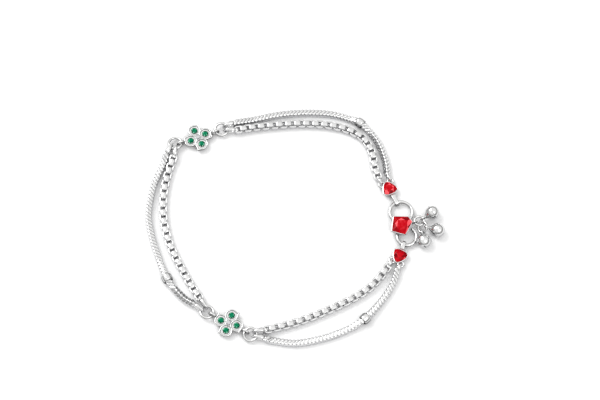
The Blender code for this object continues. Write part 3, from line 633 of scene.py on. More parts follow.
# %% [markdown]
# The body is a union of four plates with four wells cut into it. A Boolean on real solids is
# the plain way, because the petals overlap at the middle. Each plate tapers to the ground, and
# its upper edge stays inside the rim that is laid on it next.
# %% Flower body
PETAL_RIM = 0.45 * MM
FLOWER_THICKNESS = 2.1 * MM
PETAL_RECESS = 0.4 * MM
FLOOR_LEVEL = FLOWER_THICKNESS - PETAL_RECESS


def boolean(target_object, others, operation):
    for other in others:
        step = target_object.modifiers.new(operation.lower(), "BOOLEAN")
        step.operation = operation
        step.solver = "EXACT"
        step.object = other
    bpy.context.view_layer.update()
    graph = bpy.context.evaluated_depsgraph_get()
    mesh = bpy.data.meshes.new_from_object(target_object.evaluated_get(graph))
    for item in [target_object, *others]:
        bpy.data.objects.remove(item)
    return mesh


def loose(name, shape):
    """An object that is only built with, not kept."""
    item = bpy.data.objects.new(name, mesh_of(name, shape))
    scene.collection.objects.link(item)
    return item


def shape_of(mesh):
    """The points and faces of a mesh."""
    points = np.array([vertex.co[:] for vertex in mesh.vertices])
    return points, [list(face.vertices) for face in mesh.polygons]


def four_petals(name, levels):
    """The petal outline carried through pairs of inset and height, for each petal."""
    rings = []
    for inset, z in levels:
        rings.append([(*point, z) for point in petal_outline(PETAL_RADIUS - inset)])
    petal = joined_rings(rings)
    return [loose(name, moved(petal, petal_turn(number))) for number in range(PETALS)]


BODY_LEVELS = [
    (0.66 * MM, 0.0), (0.54 * MM, 0.12 * MM), (0.2 * MM, 1.2 * MM), (0.07 * MM, 1.5 * MM),
    (0.07 * MM, FLOOR_LEVEL + 0.1 * MM), (0.13 * MM, FLOOR_LEVEL + 0.2 * MM),
]
WELL_LEVELS = [
    (PETAL_RIM + 0.02 * MM, FLOOR_LEVEL), (PETAL_RIM - 0.06 * MM, FLOOR_LEVEL + 0.4 * MM),
]
petal_plates = four_petals("plate", BODY_LEVELS)
plates_mesh = boolean(petal_plates[0], petal_plates[1:], "UNION")
plates = bpy.data.objects.new("plates", plates_mesh)
scene.collection.objects.link(plates)
FLOWER_BODY = boolean(plates, four_petals("well", WELL_LEVELS), "DIFFERENCE")
print("flower body:", len(FLOWER_BODY.polygons), "faces")

# %% [markdown]
# A bright raised rim runs round each sunk grey floor. It is a wire of nearly round section,
# laid on the petal outline half its width inside the edge, and catches the light as a cast
# rim does. Tiny beads of metal fill the point of each petal.
# %% Rims and beads
def rim_wire(outline, radius, height, squash=0.9):
    """A round wire laid along a closed outline."""
    rings = []
    for i, point in enumerate(outline):
        along = (outline[(i + 1) % len(outline)] - outline[i - 1]).normalized()
        rings.append(round_section((*point, height), (along.y, -along.x), radius, 14, squash))
    return joined_rings(rings, closed=True)


def small_bead(place, radius, steps=8, bands=5):
    """A little ball whose foot is sunk in what it sits on."""
    rings = []
    for i in range(bands + 1):
        rise, size = on_circle(radius, math.pi * i / bands)
        ring = [on_circle(size, turn) for turn in turns(steps)]
        rings.append([(place[0] + x, place[1] + y, place[2] + rise) for x, y in ring])
    return joined_rings(rings)


print("a bead has", len(small_bead((0, 0, 0), 0.1 * MM)[1]), "faces")

# %% [markdown]
# On the finished casting each stone stands in a low collar, held by beads of metal that were
# pushed over its edge: eight round each green stone and four round the middle one.
# %% Collars and prongs
GREEN_STONE = 2.0 * MM
CENTRE_STONE = 1.9 * MM
SEAT_GAP = 0.03 * MM
COLLAR_WALL = 0.1 * MM


def collar(diameter, bottom, top):
    """A thin ring wall round a stone, softened at its upper edge."""
    inner = diameter / 2 + SEAT_GAP
    outer = inner + COLLAR_WALL
    profile = [
        (inner, bottom), (inner, top - 0.02 * MM), (inner + 0.02 * MM, top),
        (outer - 0.04 * MM, top), (outer - 0.02 * MM, top - 0.03 * MM), (outer, bottom),
    ]
    rings = [[(*on_circle(r, angle), z) for r, z in profile] for angle in turns(36)]
    return joined_rings(rings, closed=True)


def prongs(diameter, count, top, radius, start=math.pi / 4):
    """Beads of metal over the edge of a stone."""
    reach = diameter / 2 + 0.02 * MM
    return [small_bead((*on_circle(reach, start + turn), top), radius) for turn in turns(count)]


print("a collar has", len(collar(GREEN_STONE, 0, 0.3 * MM)[1]), "faces")

# %% [markdown]
# The trim is set on the body as it is, without cutting one into the other: on a soldered or
# cast piece such small forms only touch. An ear at each end takes a jump ring. It is a long
# ring on edge, whose inner end is sunk in the casting.
# %% Finished flowers
EAR_WIRE = 0.7 * MM
EAR_HEIGHT = 2.7 * MM
EAR_INNER = 4.35 * MM
EAR_TIP = 7.05 * MM
FLOOR_GAP = 0.03 * MM
END_HEIGHT = 3.1 * MM
END_LEVEL = END_HEIGHT / 2 + FLOOR_GAP
LINK_GAP = 0.1 * MM
RIM_DROP = 0.22 * MM
TIP_BEADS = ((3.62, -1.62, 0.2), (4.0, -1.95, 0.15), (3.2, -1.62, 0.14))  # places and radii


def petal_trim():
    """The rim, collar, prongs and beads of one petal along +X."""
    outline = petal_outline(PETAL_RADIUS - PETAL_RIM / 2)
    seat = Matrix.Translation((PETAL_REACH, 0, 0))
    seated = [collar(GREEN_STONE, FLOOR_LEVEL - 0.1 * MM, FLOOR_LEVEL + 0.2 * MM)]
    seated += prongs(GREEN_STONE + 0.04 * MM, 8, FLOOR_LEVEL + 0.36 * MM, 0.13 * MM)
    forms = [rim_wire(outline, PETAL_RIM / 2, FLOWER_THICKNESS - RIM_DROP)]
    forms += [moved(form, seat) for form in seated]
    for x, y, size in TIP_BEADS:
        forms.append(small_bead((x * MM, y * MM, FLOOR_LEVEL + 0.05 * MM), size * MM))
    return together(forms)


def flower_trim():
    """Everything on one flower but its body."""
    petal = petal_trim()
    forms = [moved(petal, petal_turn(number)) for number in range(PETALS)]
    forms.append(collar(CENTRE_STONE, FLOOR_LEVEL - 0.3 * MM, FLOWER_THICKNESS))
    forms += prongs(CENTRE_STONE + 0.1 * MM, 4, FLOWER_THICKNESS + 0.03 * MM, 0.15 * MM, 0)
    ear_length = EAR_TIP + EAR_WIRE / 2 - EAR_INNER
    for end in (1, -1):
        middle = Vector((end * (EAR_INNER + ear_length / 2), 0, END_LEVEL))
        forms.append(standing_ring(ear_length, EAR_HEIGHT, EAR_WIRE, Matrix.Translation(middle)))
    return together(forms)


FLOWER_MESH = mesh_of("flower", together([shape_of(FLOWER_BODY), flower_trim()]))
for side, flower in FLOWERS.items():
    place = placed(plan(flower["centre"]), heading(flower["axis"]))
    piece(f"cast_flower_{side}", FLOWER_MESH, CAST_SILVER, [f"flower_link_{side}"], matrix=place)
print("flower:", len(FLOWER_MESH.polygons), "faces")

# %% [markdown]
# ## Round stones
#
# A round brilliant has a flat table, eight kites and stars round it, a thin girdle and a
# pointed back. The same pattern works for any outline: take a corner, the middle of the side
# after it, and repeat. So one function cuts the round stones and, later, the red ones.
# %% Cut a stone
GIRDLE_EDGE = 0.05 * MM
KITE_REACH, KITE_RISE = 0.52, 0.55  # where the kites meet the stars, as shares
BACK_REACH, BACK_DROP = 0.5, 0.45  # where the long facets of the back meet


def cut_stone(name, corners, middles, back, girdle, table, table_share=0.56, seed=3):
    """A stone cut to an outline of corners and side middles, at three heights."""
    count = len(corners)
    star_level = girdle + (table - girdle) * KITE_RISE
    back_level = girdle - (girdle - back) * BACK_DROP
    points = [(*(corner * table_share), table) for corner in corners]
    points += [(*(middle * (1 + table_share) * KITE_REACH), star_level) for middle in middles]
    for edge_level in (girdle + GIRDLE_EDGE, girdle - GIRDLE_EDGE):
        for corner, middle in zip(corners, middles):
            points += [(*corner, edge_level), (*middle, edge_level)]
    points += [(*(middle * BACK_REACH), back_level) for middle in middles]
    points.append((0, 0, back))
    star, upper, lower = count, 2 * count, 4 * count
    under, culet = 6 * count, 7 * count
    faces = [list(range(count))]
    for i in range(count):
        after, before = (i + 1) % count, (i - 1) % count
        rim, side, rim_after = 2 * i, 2 * i + 1, 2 * after
        faces.append([i, star + before, upper + rim, star + i])
        faces.append([i, star + i, after])
        faces.append([star + i, upper + rim, upper + side])
        faces.append([star + i, upper + side, upper + rim_after])
        faces.append([upper + rim, lower + rim, lower + side, upper + side])
        faces.append([upper + side, lower + side, lower + rim_after, upper + rim_after])
        faces.append([lower + rim, under + i, lower + side])
        faces.append([lower + side, under + i, lower + rim_after])
        faces.append([lower + rim, under + before, culet, under + i])
    mesh = mesh_of(name, (np.array(points, float), faces), sharp=1)
    mesh.shade_flat()
    facet_light(mesh, seed)
    return mesh


FACET_LIGHTS = (0.05, 0.15, 0.3, 0.45, 0.55, 0.6, 1.0)
TABLE_LIGHT = 0.55


def facet_light(mesh, seed):
    """Each facet's share of light: the table is even, and its neighbours flash or stay dark."""
    chance = np.random.default_rng(seed)
    light = mesh.attributes.new("facet_light", "FLOAT", "FACE")
    for face, value in zip(mesh.polygons, light.data):
        flat = face.normal.z > 0.98
        value.value = TABLE_LIGHT if flat else float(chance.choice(FACET_LIGHTS))


print("facet lights from", FACET_LIGHTS[0], "to", FACET_LIGHTS[-1])

# %% [markdown]
# The round stones have eight corners. Each green one is cut with its own seed, so that the
# four stones of a flower don't all flash at the same facet.
# %% Green and white stones
def round_outline(radius, count=8):
    """The corners and side middles of a round stone."""
    half = math.pi / count
    corners = [Vector(on_circle(radius, turn)) for turn in turns(count)]
    middles = [Vector(on_circle(radius, turn + half)) for turn in turns(count)]
    return corners, middles


STONE_FLOOR = 0.78 * MM
ROUND_GIRDLE = 1.9 * MM
ROUND_TABLE = 2.4 * MM
for side, flower in FLOWERS.items():
    place = placed(plan(flower["centre"]), heading(flower["axis"]))
    for number in range(PETALS):
        mesh = cut_stone(
            f"round_cut_{side}_{number + 1}", *round_outline(GREEN_STONE / 2),
            STONE_FLOOR, ROUND_GIRDLE, ROUND_TABLE, seed=5 + number,
        )
        seat = place @ petal_turn(number) @ Matrix.Translation((PETAL_REACH, 0, 0))
        node = f"green_stone_{side}_{number + 1}"
        piece(f"cut_{node}", mesh, EMERALD, [node], seat)
    mesh = cut_stone(
        f"white_cut_{side}", *round_outline(CENTRE_STONE / 2),
        STONE_FLOOR, ROUND_GIRDLE, ROUND_TABLE,
    )
    node = f"centre_stone_{side}"
    piece(f"cut_{node}", mesh, WHITE_STONE, [node], place)
print("a stone has", len(mesh.polygons), "facets")

# %% [markdown]
# ## Jump rings
#
# A jump ring joins each ear of a flower to the two loops of its strands. It lies almost flat,
# pulled against the ear's wire on one side and against the loops on the other.
# %% Jump rings
JUMP_WIRE = 0.85 * MM
JUMP_DIAMETER = 5.0 * MM
JUMP_ROLL = math.radians(9)


def jump_ring_centre(key):
    ring = JUMP_RINGS[key]
    flower = FLOWERS[ring["flower"]]
    along = heading(flower["axis"]) * ring["end"]
    inside = EAR_TIP - EAR_WIRE / 2 - JUMP_WIRE / 2 - LINK_GAP - ring["slack"]
    ear_place = plan(flower["centre"], END_LEVEL) + along * inside
    return ear_place + heading(ring["heading"]) * (JUMP_DIAMETER - JUMP_WIRE) / 2


JUMP_MESH = mesh_of("jump_ring", wire_ring(JUMP_DIAMETER, JUMP_WIRE))
for key, ring in JUMP_RINGS.items():
    place = placed(jump_ring_centre(key), heading(ring["heading"]))
    roll = Matrix.Rotation(JUMP_ROLL, 4, "X")
    piece(f"wire_ring_{key}", JUMP_MESH, WIRE_SILVER, [f"jump_ring_{key}"], matrix=place @ roll)
print("jump rings:", len(JUMP_RINGS))

# %% [markdown]
# ## Where the strands end
#
# Each strand ends in a long ring of wire that stands on edge. The two rings of a pair sit
# side by side on their jump ring, or on the two small loops at the back of a red setting.
# Where a ring hangs is worked out from what it hangs on, so the links always hold.
# %% Where an end ring hangs
END_WIRE = 0.86 * MM
END_LENGTH = 4.6 * MM
END_OFFSET = 0.74 * MM
END_SPLAY = math.radians(9)
BACK_LOOP_WIRE = 0.7 * MM
BACK_LOOP_DIAMETER = 2.5 * MM
BACK_LOOP_REACH = 2.4 * MM
BACK_LOOP_OFFSET = 1.55 * MM
SHORT_END_WIRE = 0.7 * MM
SHORT_END_HEIGHT = 2.7 * MM
SHORT_END_LENGTH = 2.9 * MM
SHORT_END_LEVEL = SHORT_END_HEIGHT / 2 + FLOOR_GAP


def strand_end(strand, index, snake_side):
    """The frame and sizes of the ring at one end of a snake or box strand."""
    key = STRAND_ENDS[strand][index]
    snake_route = SNAKE_ROUTES[strand]
    snake_points = snake_route["before"] + [snake_route["bead"]] + snake_route["after"]
    snake, box = (plan(points[-index]) for points in (snake_points, BOX_ROUTES[strand]))
    if key.startswith("setting"):
        setting = END_SETTINGS[strand]
        away = heading(setting["apex"])
        centre = plan(setting["centre"], SHORT_END_LEVEL)
        end = {"length": SHORT_END_LENGTH, "height": SHORT_END_HEIGHT, "wire": SHORT_END_WIRE}
        ring_radius = (BACK_LOOP_DIAMETER - BACK_LOOP_WIRE) / 2
        near = BACK_LOOP_REACH + ring_radius - (BACK_LOOP_WIRE + end["wire"]) / 2 - LINK_GAP
        offset, splay = BACK_LOOP_OFFSET, 0
    else:
        centre = jump_ring_centre(key)
        away = level((snake + box) / 2 - centre)
        end = {"length": END_LENGTH, "height": END_HEIGHT, "wire": END_WIRE}
        inside = (JUMP_DIAMETER - JUMP_WIRE) / 2 - (JUMP_WIRE + end["wire"]) / 2 - LINK_GAP
        offset, splay = END_OFFSET, END_SPLAY
        near = math.sqrt(inside**2 - offset**2)
    side = math.copysign(1, (snake - box).dot(left_of(away))) * (1 if snake_side else -1)
    start = centre + away * near + left_of(away) * side * offset
    along = Matrix.Rotation(side * splay, 3, "Z") @ away
    reach = end["length"] - end["wire"]
    end["matrix"] = placed(start + along * reach / 2, along)
    end["far"] = start + along * reach
    end["along"] = along
    return end


for strand in STRAND_ENDS:
    far = strand_end(strand, 0, True)["far"]
    print(strand, "snake chain starts at", [round(value / MM, 1) for value in far], "mm")

# %% [markdown]
# The ring itself is flattened and broad where the chain is soldered into it, and slim inside
# the jump ring. One wire ring is enough, if its width is scaled along its length.
# %% End rings
RING_SHARES = (0.1, 0.3, 0.6, 1.0)
RING_WIDTHS = (0.8, 1.05, 1.8, 1.6)
SOLDER_RADII = (0.55 * MM, 0.8 * MM, 0.92 * MM, 0.92 * MM, 0.75 * MM)
SOLDER_START = -0.35 * MM
SOLDER_STEP = 0.28 * MM


def end_ring(end):
    """An end ring, slim inside the jump ring and broad towards its chain."""
    flat = Matrix.Identity(4)
    points, faces = standing_ring(end["length"], end["height"], end["wire"], flat)
    points[:, 1] *= np.interp(points[:, 0] / end["length"] + 0.5, RING_SHARES, RING_WIDTHS)
    return moved((points, faces), end["matrix"])


def end_shapes(ends):
    """The two end rings of a strand, each with the solder collar where the chain is joined."""
    rings = []
    for i, radius in enumerate(SOLDER_RADII):
        x = SOLDER_START + i * SOLDER_STEP
        rings.append([(x, *on_circle(radius, turn)) for turn in turns(16)])
    solder = joined_rings(rings)
    shapes = []
    for end in ends:
        shapes += [end_ring(end), moved(solder, placed(end["far"], end["along"]))]
    return shapes


print("ends of", len(STRAND_ENDS), "pairs of strands")

# %% [markdown]
# A strand follows a smooth line through its chosen places. Walking that line by its length
# keeps every link the same size however the strand curves.
# %% Walk along a strand
class Route:
    def __init__(self, places):
        self.points = [places[0]]
        for i in range(len(places) - 1):
            here, there = places[i], places[i + 1]
            before, after = places[max(i - 1, 0)], places[min(i + 2, len(places) - 1)]
            reach = (there - here).length / 3
            out = here + level(there - before) * reach
            back = there - level(after - here) * reach
            self.points += interpolate_bezier(here, out, back, there, 16)[1:]
        steps = [(far - near).length for near, far in zip(self.points, self.points[1:])]
        self.lengths = np.concatenate([[0.0], np.cumsum(steps)])
        self.length = float(self.lengths[-1])

    def at(self, distance):
        i = int(np.clip(np.searchsorted(self.lengths, distance) - 1, 0, len(self.points) - 2))
        near, far = self.points[i], self.points[i + 1]
        share = (distance - self.lengths[i]) / (self.lengths[i + 1] - self.lengths[i])
        return near.lerp(far, share)

    def nearest(self, place):
        distances = [(point - place).length for point in self.points]
        return float(self.lengths[distances.index(min(distances))])

    def frame(self, distance):
        """X along the line, Y level and to its left, Z up."""
        reach = 0.3 * MM
        along = (self.at(distance + reach) - self.at(distance - reach)).normalized()
        left = left_of(along).normalized()
        axes = Matrix((along, left, along.cross(left))).transposed()
        return Matrix.Translation(self.at(distance)) @ axes.to_4x4()


print("a straight route measures", Route([Vector((0, 0, 0)), Vector((1, 0, 0))]).length)

# %% [markdown]
# The snake chain rests on the ground on one flat side, or on a corner where its square is
# turned. It rises a little to go through the middle of its bead, and to its end rings.
# %% Lines of the snake chains
SNAKE_CREST = 1.3 * MM
SNAKE_LEVEL = SNAKE_CREST * math.cos(math.pi / 4) + FLOOR_GAP
SNAKE_TURNED_LEVEL = SNAKE_CREST + FLOOR_GAP
BEAD_DIAMETER = 3.5 * MM
BEAD_LEVEL = BEAD_DIAMETER / 2 + FLOOR_GAP


def snake_line(strand, ends):
    route = SNAKE_ROUTES[strand]
    after_level = SNAKE_TURNED_LEVEL if route["turned"] else SNAKE_LEVEL
    places = [ends[0]["far"]] + [plan(point, SNAKE_LEVEL) for point in route["before"]]
    places.append(plan(route["bead"], BEAD_LEVEL))
    places += [plan(point, after_level) for point in route["after"]]
    return Route(places + [ends[1]["far"]])


for strand in STRAND_ENDS:
    pair = [strand_end(strand, index, True) for index in (0, 1)]
    print(strand, "snake chain", round(snake_line(strand, pair).length / MM, 1), "mm")

# %% [markdown]
# ## Snake chain
#
# A snake chain is a row of small bent plates pressed so close that they read as ribs. On this
# square one each rib zigzags round the four sides, so seen from above every rib slants the
# same way. Its section is a rounded square; the ribs are a swell along the length, and each
# point of the section is pushed forward or back along the chain to make the slant.
# %% Ribs and section
SNAKE_PITCH = 1.2 * MM
SNAKE_HALF = 1.02 * MM  # half the width across the flats at a rib
SNAKE_DEPTH = 0.3 * MM
SNAKE_SLANT = 0.62 * MM
GROOVE_WIDTH = 0.13  # as a share of the pitch
RIB_STEPS = 9
SECTION_POINTS = 32


def square_radius(angle, power=7.0):
    """The reach of a rounded square of half width 1 in one direction."""
    return (abs(math.cos(angle)) ** power + abs(math.sin(angle)) ** power) ** (-1 / power)


def slant(angle):
    """From 1 at the first corner to -1 at the next, and back, four corners in all."""
    turn = (angle - math.pi / 4) / (math.pi / 2) % 2
    return 1 - 2 * turn if turn <= 1 else 2 * turn - 3


SECTION_ANGLES = [2 * math.pi * (j + 0.5) / SECTION_POINTS for j in range(SECTION_POINTS)]
SECTION_REACH = [square_radius(angle) for angle in SECTION_ANGLES]
SECTION_SLANT = [slant(angle) for angle in SECTION_ANGLES]


def rib_depth(step):
    """0 on a rib's broad crest and 1 in the groove between two ribs."""
    phase = (step % RIB_STEPS) / RIB_STEPS
    return math.exp(-((min(phase, 1 - phase) / GROOVE_WIDTH) ** 2))


print("grooves:", [round(rib_depth(step), 2) for step in range(RIB_STEPS)])

# %% [markdown]
# The section is then carried along the strand's line, nine rings to each rib. Where the chain
# turns onto its corner, the section rolls slowly, so no rib is broken.
# %% Snake strands
SNAKE_TURN_LENGTH = 4.0 * MM
BEAD_LENGTH = 2.3 * MM


def snake_shape(strand):
    ends = [strand_end(strand, index, True) for index in (0, 1)]
    route = snake_line(strand, ends)
    bead_at = route.nearest(plan(SNAKE_ROUTES[strand]["bead"], BEAD_LEVEL))
    ribs = round(route.length / SNAKE_PITCH)
    rings = []
    for i in range(ribs * RIB_STEPS + 1):
        distance = route.length * i / (ribs * RIB_STEPS)
        turned = (distance - bead_at - BEAD_LENGTH / 2) / SNAKE_TURN_LENGTH
        turned = min(max(turned, 0), 1) if SNAKE_ROUTES[strand]["turned"] else 0
        roll = turned * math.pi / 4
        half = SNAKE_HALF - SNAKE_DEPTH * rib_depth(i)
        place = route.frame(distance)
        ring = []
        for angle, reach, lead in zip(SECTION_ANGLES, SECTION_REACH, SECTION_SLANT):
            across, up = on_circle(min(half * reach, SNAKE_CREST), angle + roll)
            ring.append(place @ Vector((lead * SNAKE_SLANT, across, up)))
        rings.append(ring)
    return together([joined_rings(rings), *end_shapes(ends)]), route.frame(bead_at)


BEAD_FRAMES = {}
for strand in STRAND_ENDS:
    shape, BEAD_FRAMES[strand] = snake_shape(strand)
    mesh = mesh_of(f"snake_{strand}", shape, sharp=60)
    piece(f"snake_chain_{strand}", mesh, CHAIN_SILVER, [f"snake_strand_{strand}"])
    print(strand, "snake chain:", len(mesh.polygons), "faces")

# %% [markdown]
# ## Box chain
#
# A box chain is made of short square loops of flat band, each turned a quarter from the last
# and hooked through it. Only two loops are shaped, each a band with softened edges carried
# round a rounded square. The upright ones have a broader band, because their tops are what
# shows as a row of bright squares.
# %% Box links
BOX_WIDTH = 2.6 * MM
BOX_BAND = 1.25 * MM
BOX_UPRIGHT_BAND = 1.5 * MM
BOX_WALL = 0.5 * MM
BOX_CORNER = 0.62 * MM
BOX_EDGE = 0.11 * MM
BOX_PITCH = 1.52 * MM
BOX_LEVEL = BOX_WIDTH / 2 + FLOOR_GAP
BOX_PLAY = 0.03 * MM


def rounded_rectangle(length, width, corner, steps):
    """Points and outward directions round a rounded rectangle."""
    places = []
    for quarter in range(4):
        middle_angle = math.pi / 4 + quarter * math.pi / 2
        centre_x = math.copysign(length / 2 - corner, math.cos(middle_angle))
        centre_y = math.copysign(width / 2 - corner, math.sin(middle_angle))
        for i in range(steps + 1):
            angle = quarter * math.pi / 2 + i * math.pi / 2 / steps
            out = (math.cos(angle), math.sin(angle))
            places.append((centre_x + corner * out[0], centre_y + corner * out[1], out))
    return places


def box_loop(length, band):
    """One loop of flat band in its XY plane."""
    section = rounded_rectangle(BOX_WALL, band, BOX_EDGE, 2)
    corner = BOX_CORNER - BOX_WALL / 2
    rings = []
    for x, y, out in rounded_rectangle(length - BOX_WALL, BOX_WIDTH - BOX_WALL, corner, 4):
        rings.append([(x + out[0] * a, y + out[1] * a, b) for a, b, _ in section])
    return joined_rings(rings, closed=True)


print("a link has", len(box_loop(BOX_WIDTH, BOX_BAND)[1]), "faces")

# %% [markdown]
# Copies of the two loops are set along the strand in turn, each in its own frame. Their number
# is odd, so both ends close with a flat loop, and the pitch is stretched to fit the length.
# %% Box strands
def box_shape(strand):
    ends = [strand_end(strand, index, False) for index in (0, 1)]
    places = [plan(point, BOX_LEVEL) for point in BOX_ROUTES[strand]]
    route = Route([ends[0]["far"], *places, ends[1]["far"]])
    inset = (BOX_PITCH + BOX_WALL) / 2
    span = route.length - 2 * inset
    links = 2 * round(span / BOX_PITCH / 2) + 1
    pitch = span / (links - 1)
    length = pitch + 2 * BOX_WALL - BOX_PLAY
    loops = (box_loop(length, BOX_BAND), box_loop(length, BOX_UPRIGHT_BAND))
    shapes = []
    for number in range(links):
        quarter = Matrix.Rotation(math.pi / 2 * (number % 2), 4, "X")
        shapes.append(moved(loops[number % 2], route.frame(inset + number * pitch) @ quarter))
    return together([*shapes, *end_shapes(ends)]), links


for strand in STRAND_ENDS:
    shape, links = box_shape(strand)
    mesh = mesh_of(f"box_{strand}", shape, sharp=50)
    piece(f"box_chain_{strand}", mesh, CHAIN_SILVER, [f"box_strand_{strand}"])
    print(strand, "box chain:", links, "links,", len(mesh.polygons), "faces")

# %% [markdown]
# ## Slider beads
#
# One smooth barrel bead rides on each snake strand. Its outline is drawn once and turned
# about the strand, with a rolled lip at each mouth.
# %% Slider beads
BEAD_GAP = 0.12 * MM
BEAD_LIP = 0.07 * MM
BEAD_BARREL = 2.6  # above 2 the barrel is fuller than an ellipse


def turned_shape(profile, steps=40):
    """A closed outline of (along, radius) pairs turned about X."""
    rings = [[(x, *on_circle(r, angle)) for x, r in profile] for angle in turns(steps)]
    return joined_rings(rings, closed=True)


def bead_profile():
    """A barrel from mouth to mouth, with its bore."""
    half, bore = BEAD_LENGTH / 2, SNAKE_CREST + BEAD_GAP
    lip = bore + BEAD_LIP
    profile = [(-half, bore)]
    for share in np.linspace(-1, 1, 13).tolist():
        bulge = math.sqrt(max(0.0, 1 - abs(share) ** BEAD_BARREL))
        profile.append((half * share, lip + (BEAD_DIAMETER / 2 - lip) * bulge))
    return profile + [(half, bore)]


BEAD_MESH = mesh_of("slider_bead", turned_shape(bead_profile()), sharp=50)
for strand, place in BEAD_FRAMES.items():
    piece(f"barrel_bead_{strand}", BEAD_MESH, WIRE_SILVER, [f"slider_bead_{strand}"], matrix=place)
print("beads:", len(BEAD_FRAMES), "with", len(BEAD_MESH.polygons), "faces each")

# %% [markdown]
# ## Red end settings
#
# The strands' far ends hang on two small cups, each with a rounded-triangle red stone. The
# outline is a reach for each direction. The same function then serves the stone, which laps a
# little over the cup, and the cup's wall, which follows it with a softened rim.
# %% Outlines of the red stones
TRILLION_CORNER = 2.35 * MM
TRILLION_SHOULDER = 2.14 * MM
TRILLION_SIDE = 1.7 * MM
SHOULDER_TURN = math.radians(17)
STONE_GAP = 0.08 * MM
CUP_WALL = 0.35 * MM
CUP_TAPER = 0.6 * MM
CUP_HEIGHT = 2.0 * MM
STONE_LIP = 0.17 * MM  # each red stone laps this far over its cup
CUP_FLOOR = 0.6 * MM
END_STONE_TABLE = 2.7 * MM
END_STONE_GIRDLE = 2.03 * MM


def trillion_reach(angle):
    """The reach of a full-sided triangle with round corners, one corner along +X."""
    turn = abs((angle + math.pi / 3) % (2 * math.pi / 3) - math.pi / 3)
    flank = 0.3 * TRILLION_SHOULDER + 0.7 * TRILLION_SIDE
    turns_at = (0, SHOULDER_TURN / 2, SHOULDER_TURN, 0.65 * math.pi / 3, math.pi / 3)
    reaches = (
        TRILLION_CORNER, TRILLION_CORNER * 0.985, TRILLION_SHOULDER, flank, TRILLION_SIDE,
    )
    return float(np.interp(turn, turns_at, reaches))


def around(reach_at, count, grown_by=0.0):
    """Places round an outline that is given by its reach."""
    return [Vector(on_circle(reach_at(angle) + grown_by, angle)) for angle in turns(count)]


def cup_shape(reach_at, bottom, top, floor, wall=CUP_WALL, gap=STONE_GAP, count=72):
    """A cup that follows an outline: tapered outside, softened rim, inside and floor."""
    outer = gap + wall
    levels = [
        (outer - CUP_TAPER, bottom), (outer - 0.08 * MM, top - 0.6 * MM), (outer, top - 0.12 * MM),
        (outer - 0.05 * MM, top - 0.03 * MM), (outer - 0.13 * MM, top),
        (gap + 0.1 * MM, top), (gap + 0.03 * MM, top - 0.04 * MM), (gap, top - 0.12 * MM),
        (gap, floor),
    ]
    rings = []
    for grow, z in levels:
        rings.append([(*place, z) for place in around(reach_at, count, grow)])
    return joined_rings(rings)


TRILLION_CUP = cup_shape(trillion_reach, FLOOR_GAP, CUP_HEIGHT, CUP_FLOOR)
print("cup:", len(TRILLION_CUP[1]), "faces")

# %% [markdown]
# Behind each cup are the loops for the strands. In front an eyelet of flat band closes round
# the S hook's wire. It is long enough to reach the wire and turn round it with a little air,
# so it is measured from the hook's loop.
# %% End settings
HOOK_WIRE = 1.1 * MM
EYELET_BAND = 1.3 * MM
EYELET_WALL = 0.6 * MM
EYELET_INNER = 1.9 * MM
HOOK_LEVEL = FLOOR_GAP + EYELET_WALL + LINK_GAP + HOOK_WIRE / 2
EYELET_HEIGHT = 2 * (HOOK_LEVEL - FLOOR_GAP)


def flat_eyelet(to_hook, loop):
    """A loop of flat band on edge, from the cup to the hook's wire and round it."""
    wire_at = to_hook.length - (loop["diameter"] - HOOK_WIRE) / 2
    tip = wire_at + HOOK_WIRE / 2 + LINK_GAP + EYELET_WALL
    length = tip - EYELET_INNER
    section = rounded_rectangle(EYELET_WALL, EYELET_BAND, 0.16 * MM, 3)
    middle_width = EYELET_HEIGHT - EYELET_WALL
    rings = []
    corner = middle_width / 2 - 0.001 * MM
    for x, y, out in rounded_rectangle(length - EYELET_WALL, middle_width, corner, 10):
        rings.append([(x + out[0] * a, y + out[1] * a, b) for a, b, _ in section])
    middle = to_hook.normalized() * (EYELET_INNER + length / 2)
    middle.z = HOOK_LEVEL
    place = placed(middle, to_hook) @ Matrix.Rotation(math.pi / 2, 4, "X")
    return moved(joined_rings(rings, closed=True), place)


for side, setting in END_SETTINGS.items():
    place = placed(plan(setting["centre"]), heading(setting["apex"]))
    hook_at = place.inverted() @ plan(setting["loop"]["centre"])
    shapes = [TRILLION_CUP, flat_eyelet(Vector((hook_at.x, hook_at.y, 0)), setting["loop"])]
    for offset in (BACK_LOOP_OFFSET, -BACK_LOOP_OFFSET):
        ring = wire_ring(BACK_LOOP_DIAMETER, BACK_LOOP_WIRE, 40, 14)
        shapes.append(moved(ring, Matrix.Translation((BACK_LOOP_REACH, offset, SHORT_END_LEVEL))))
    mesh = mesh_of(f"end_setting_{side}", together(shapes))
    piece(f"red_stone_cup_{side}", mesh, WIRE_SILVER, [f"end_setting_{side}"], matrix=place)
    corners = around(trillion_reach, 6, STONE_LIP)
    middle_reach = trillion_reach(math.pi / 6) + STONE_LIP
    middles = [middle_reach * heading(30 + 60 * i).to_2d() for i in range(6)]
    stone = cut_stone(
        f"trillion_{side}", corners, middles, CUP_FLOOR + STONE_GAP,
        END_STONE_GIRDLE, END_STONE_TABLE, 0.5, seed=17 + len(side),
    )
    piece(f"cut_end_stone_{side}", stone, RUBY, [f"end_stone_{side}"], place)
print("end settings:", len(END_SETTINGS))

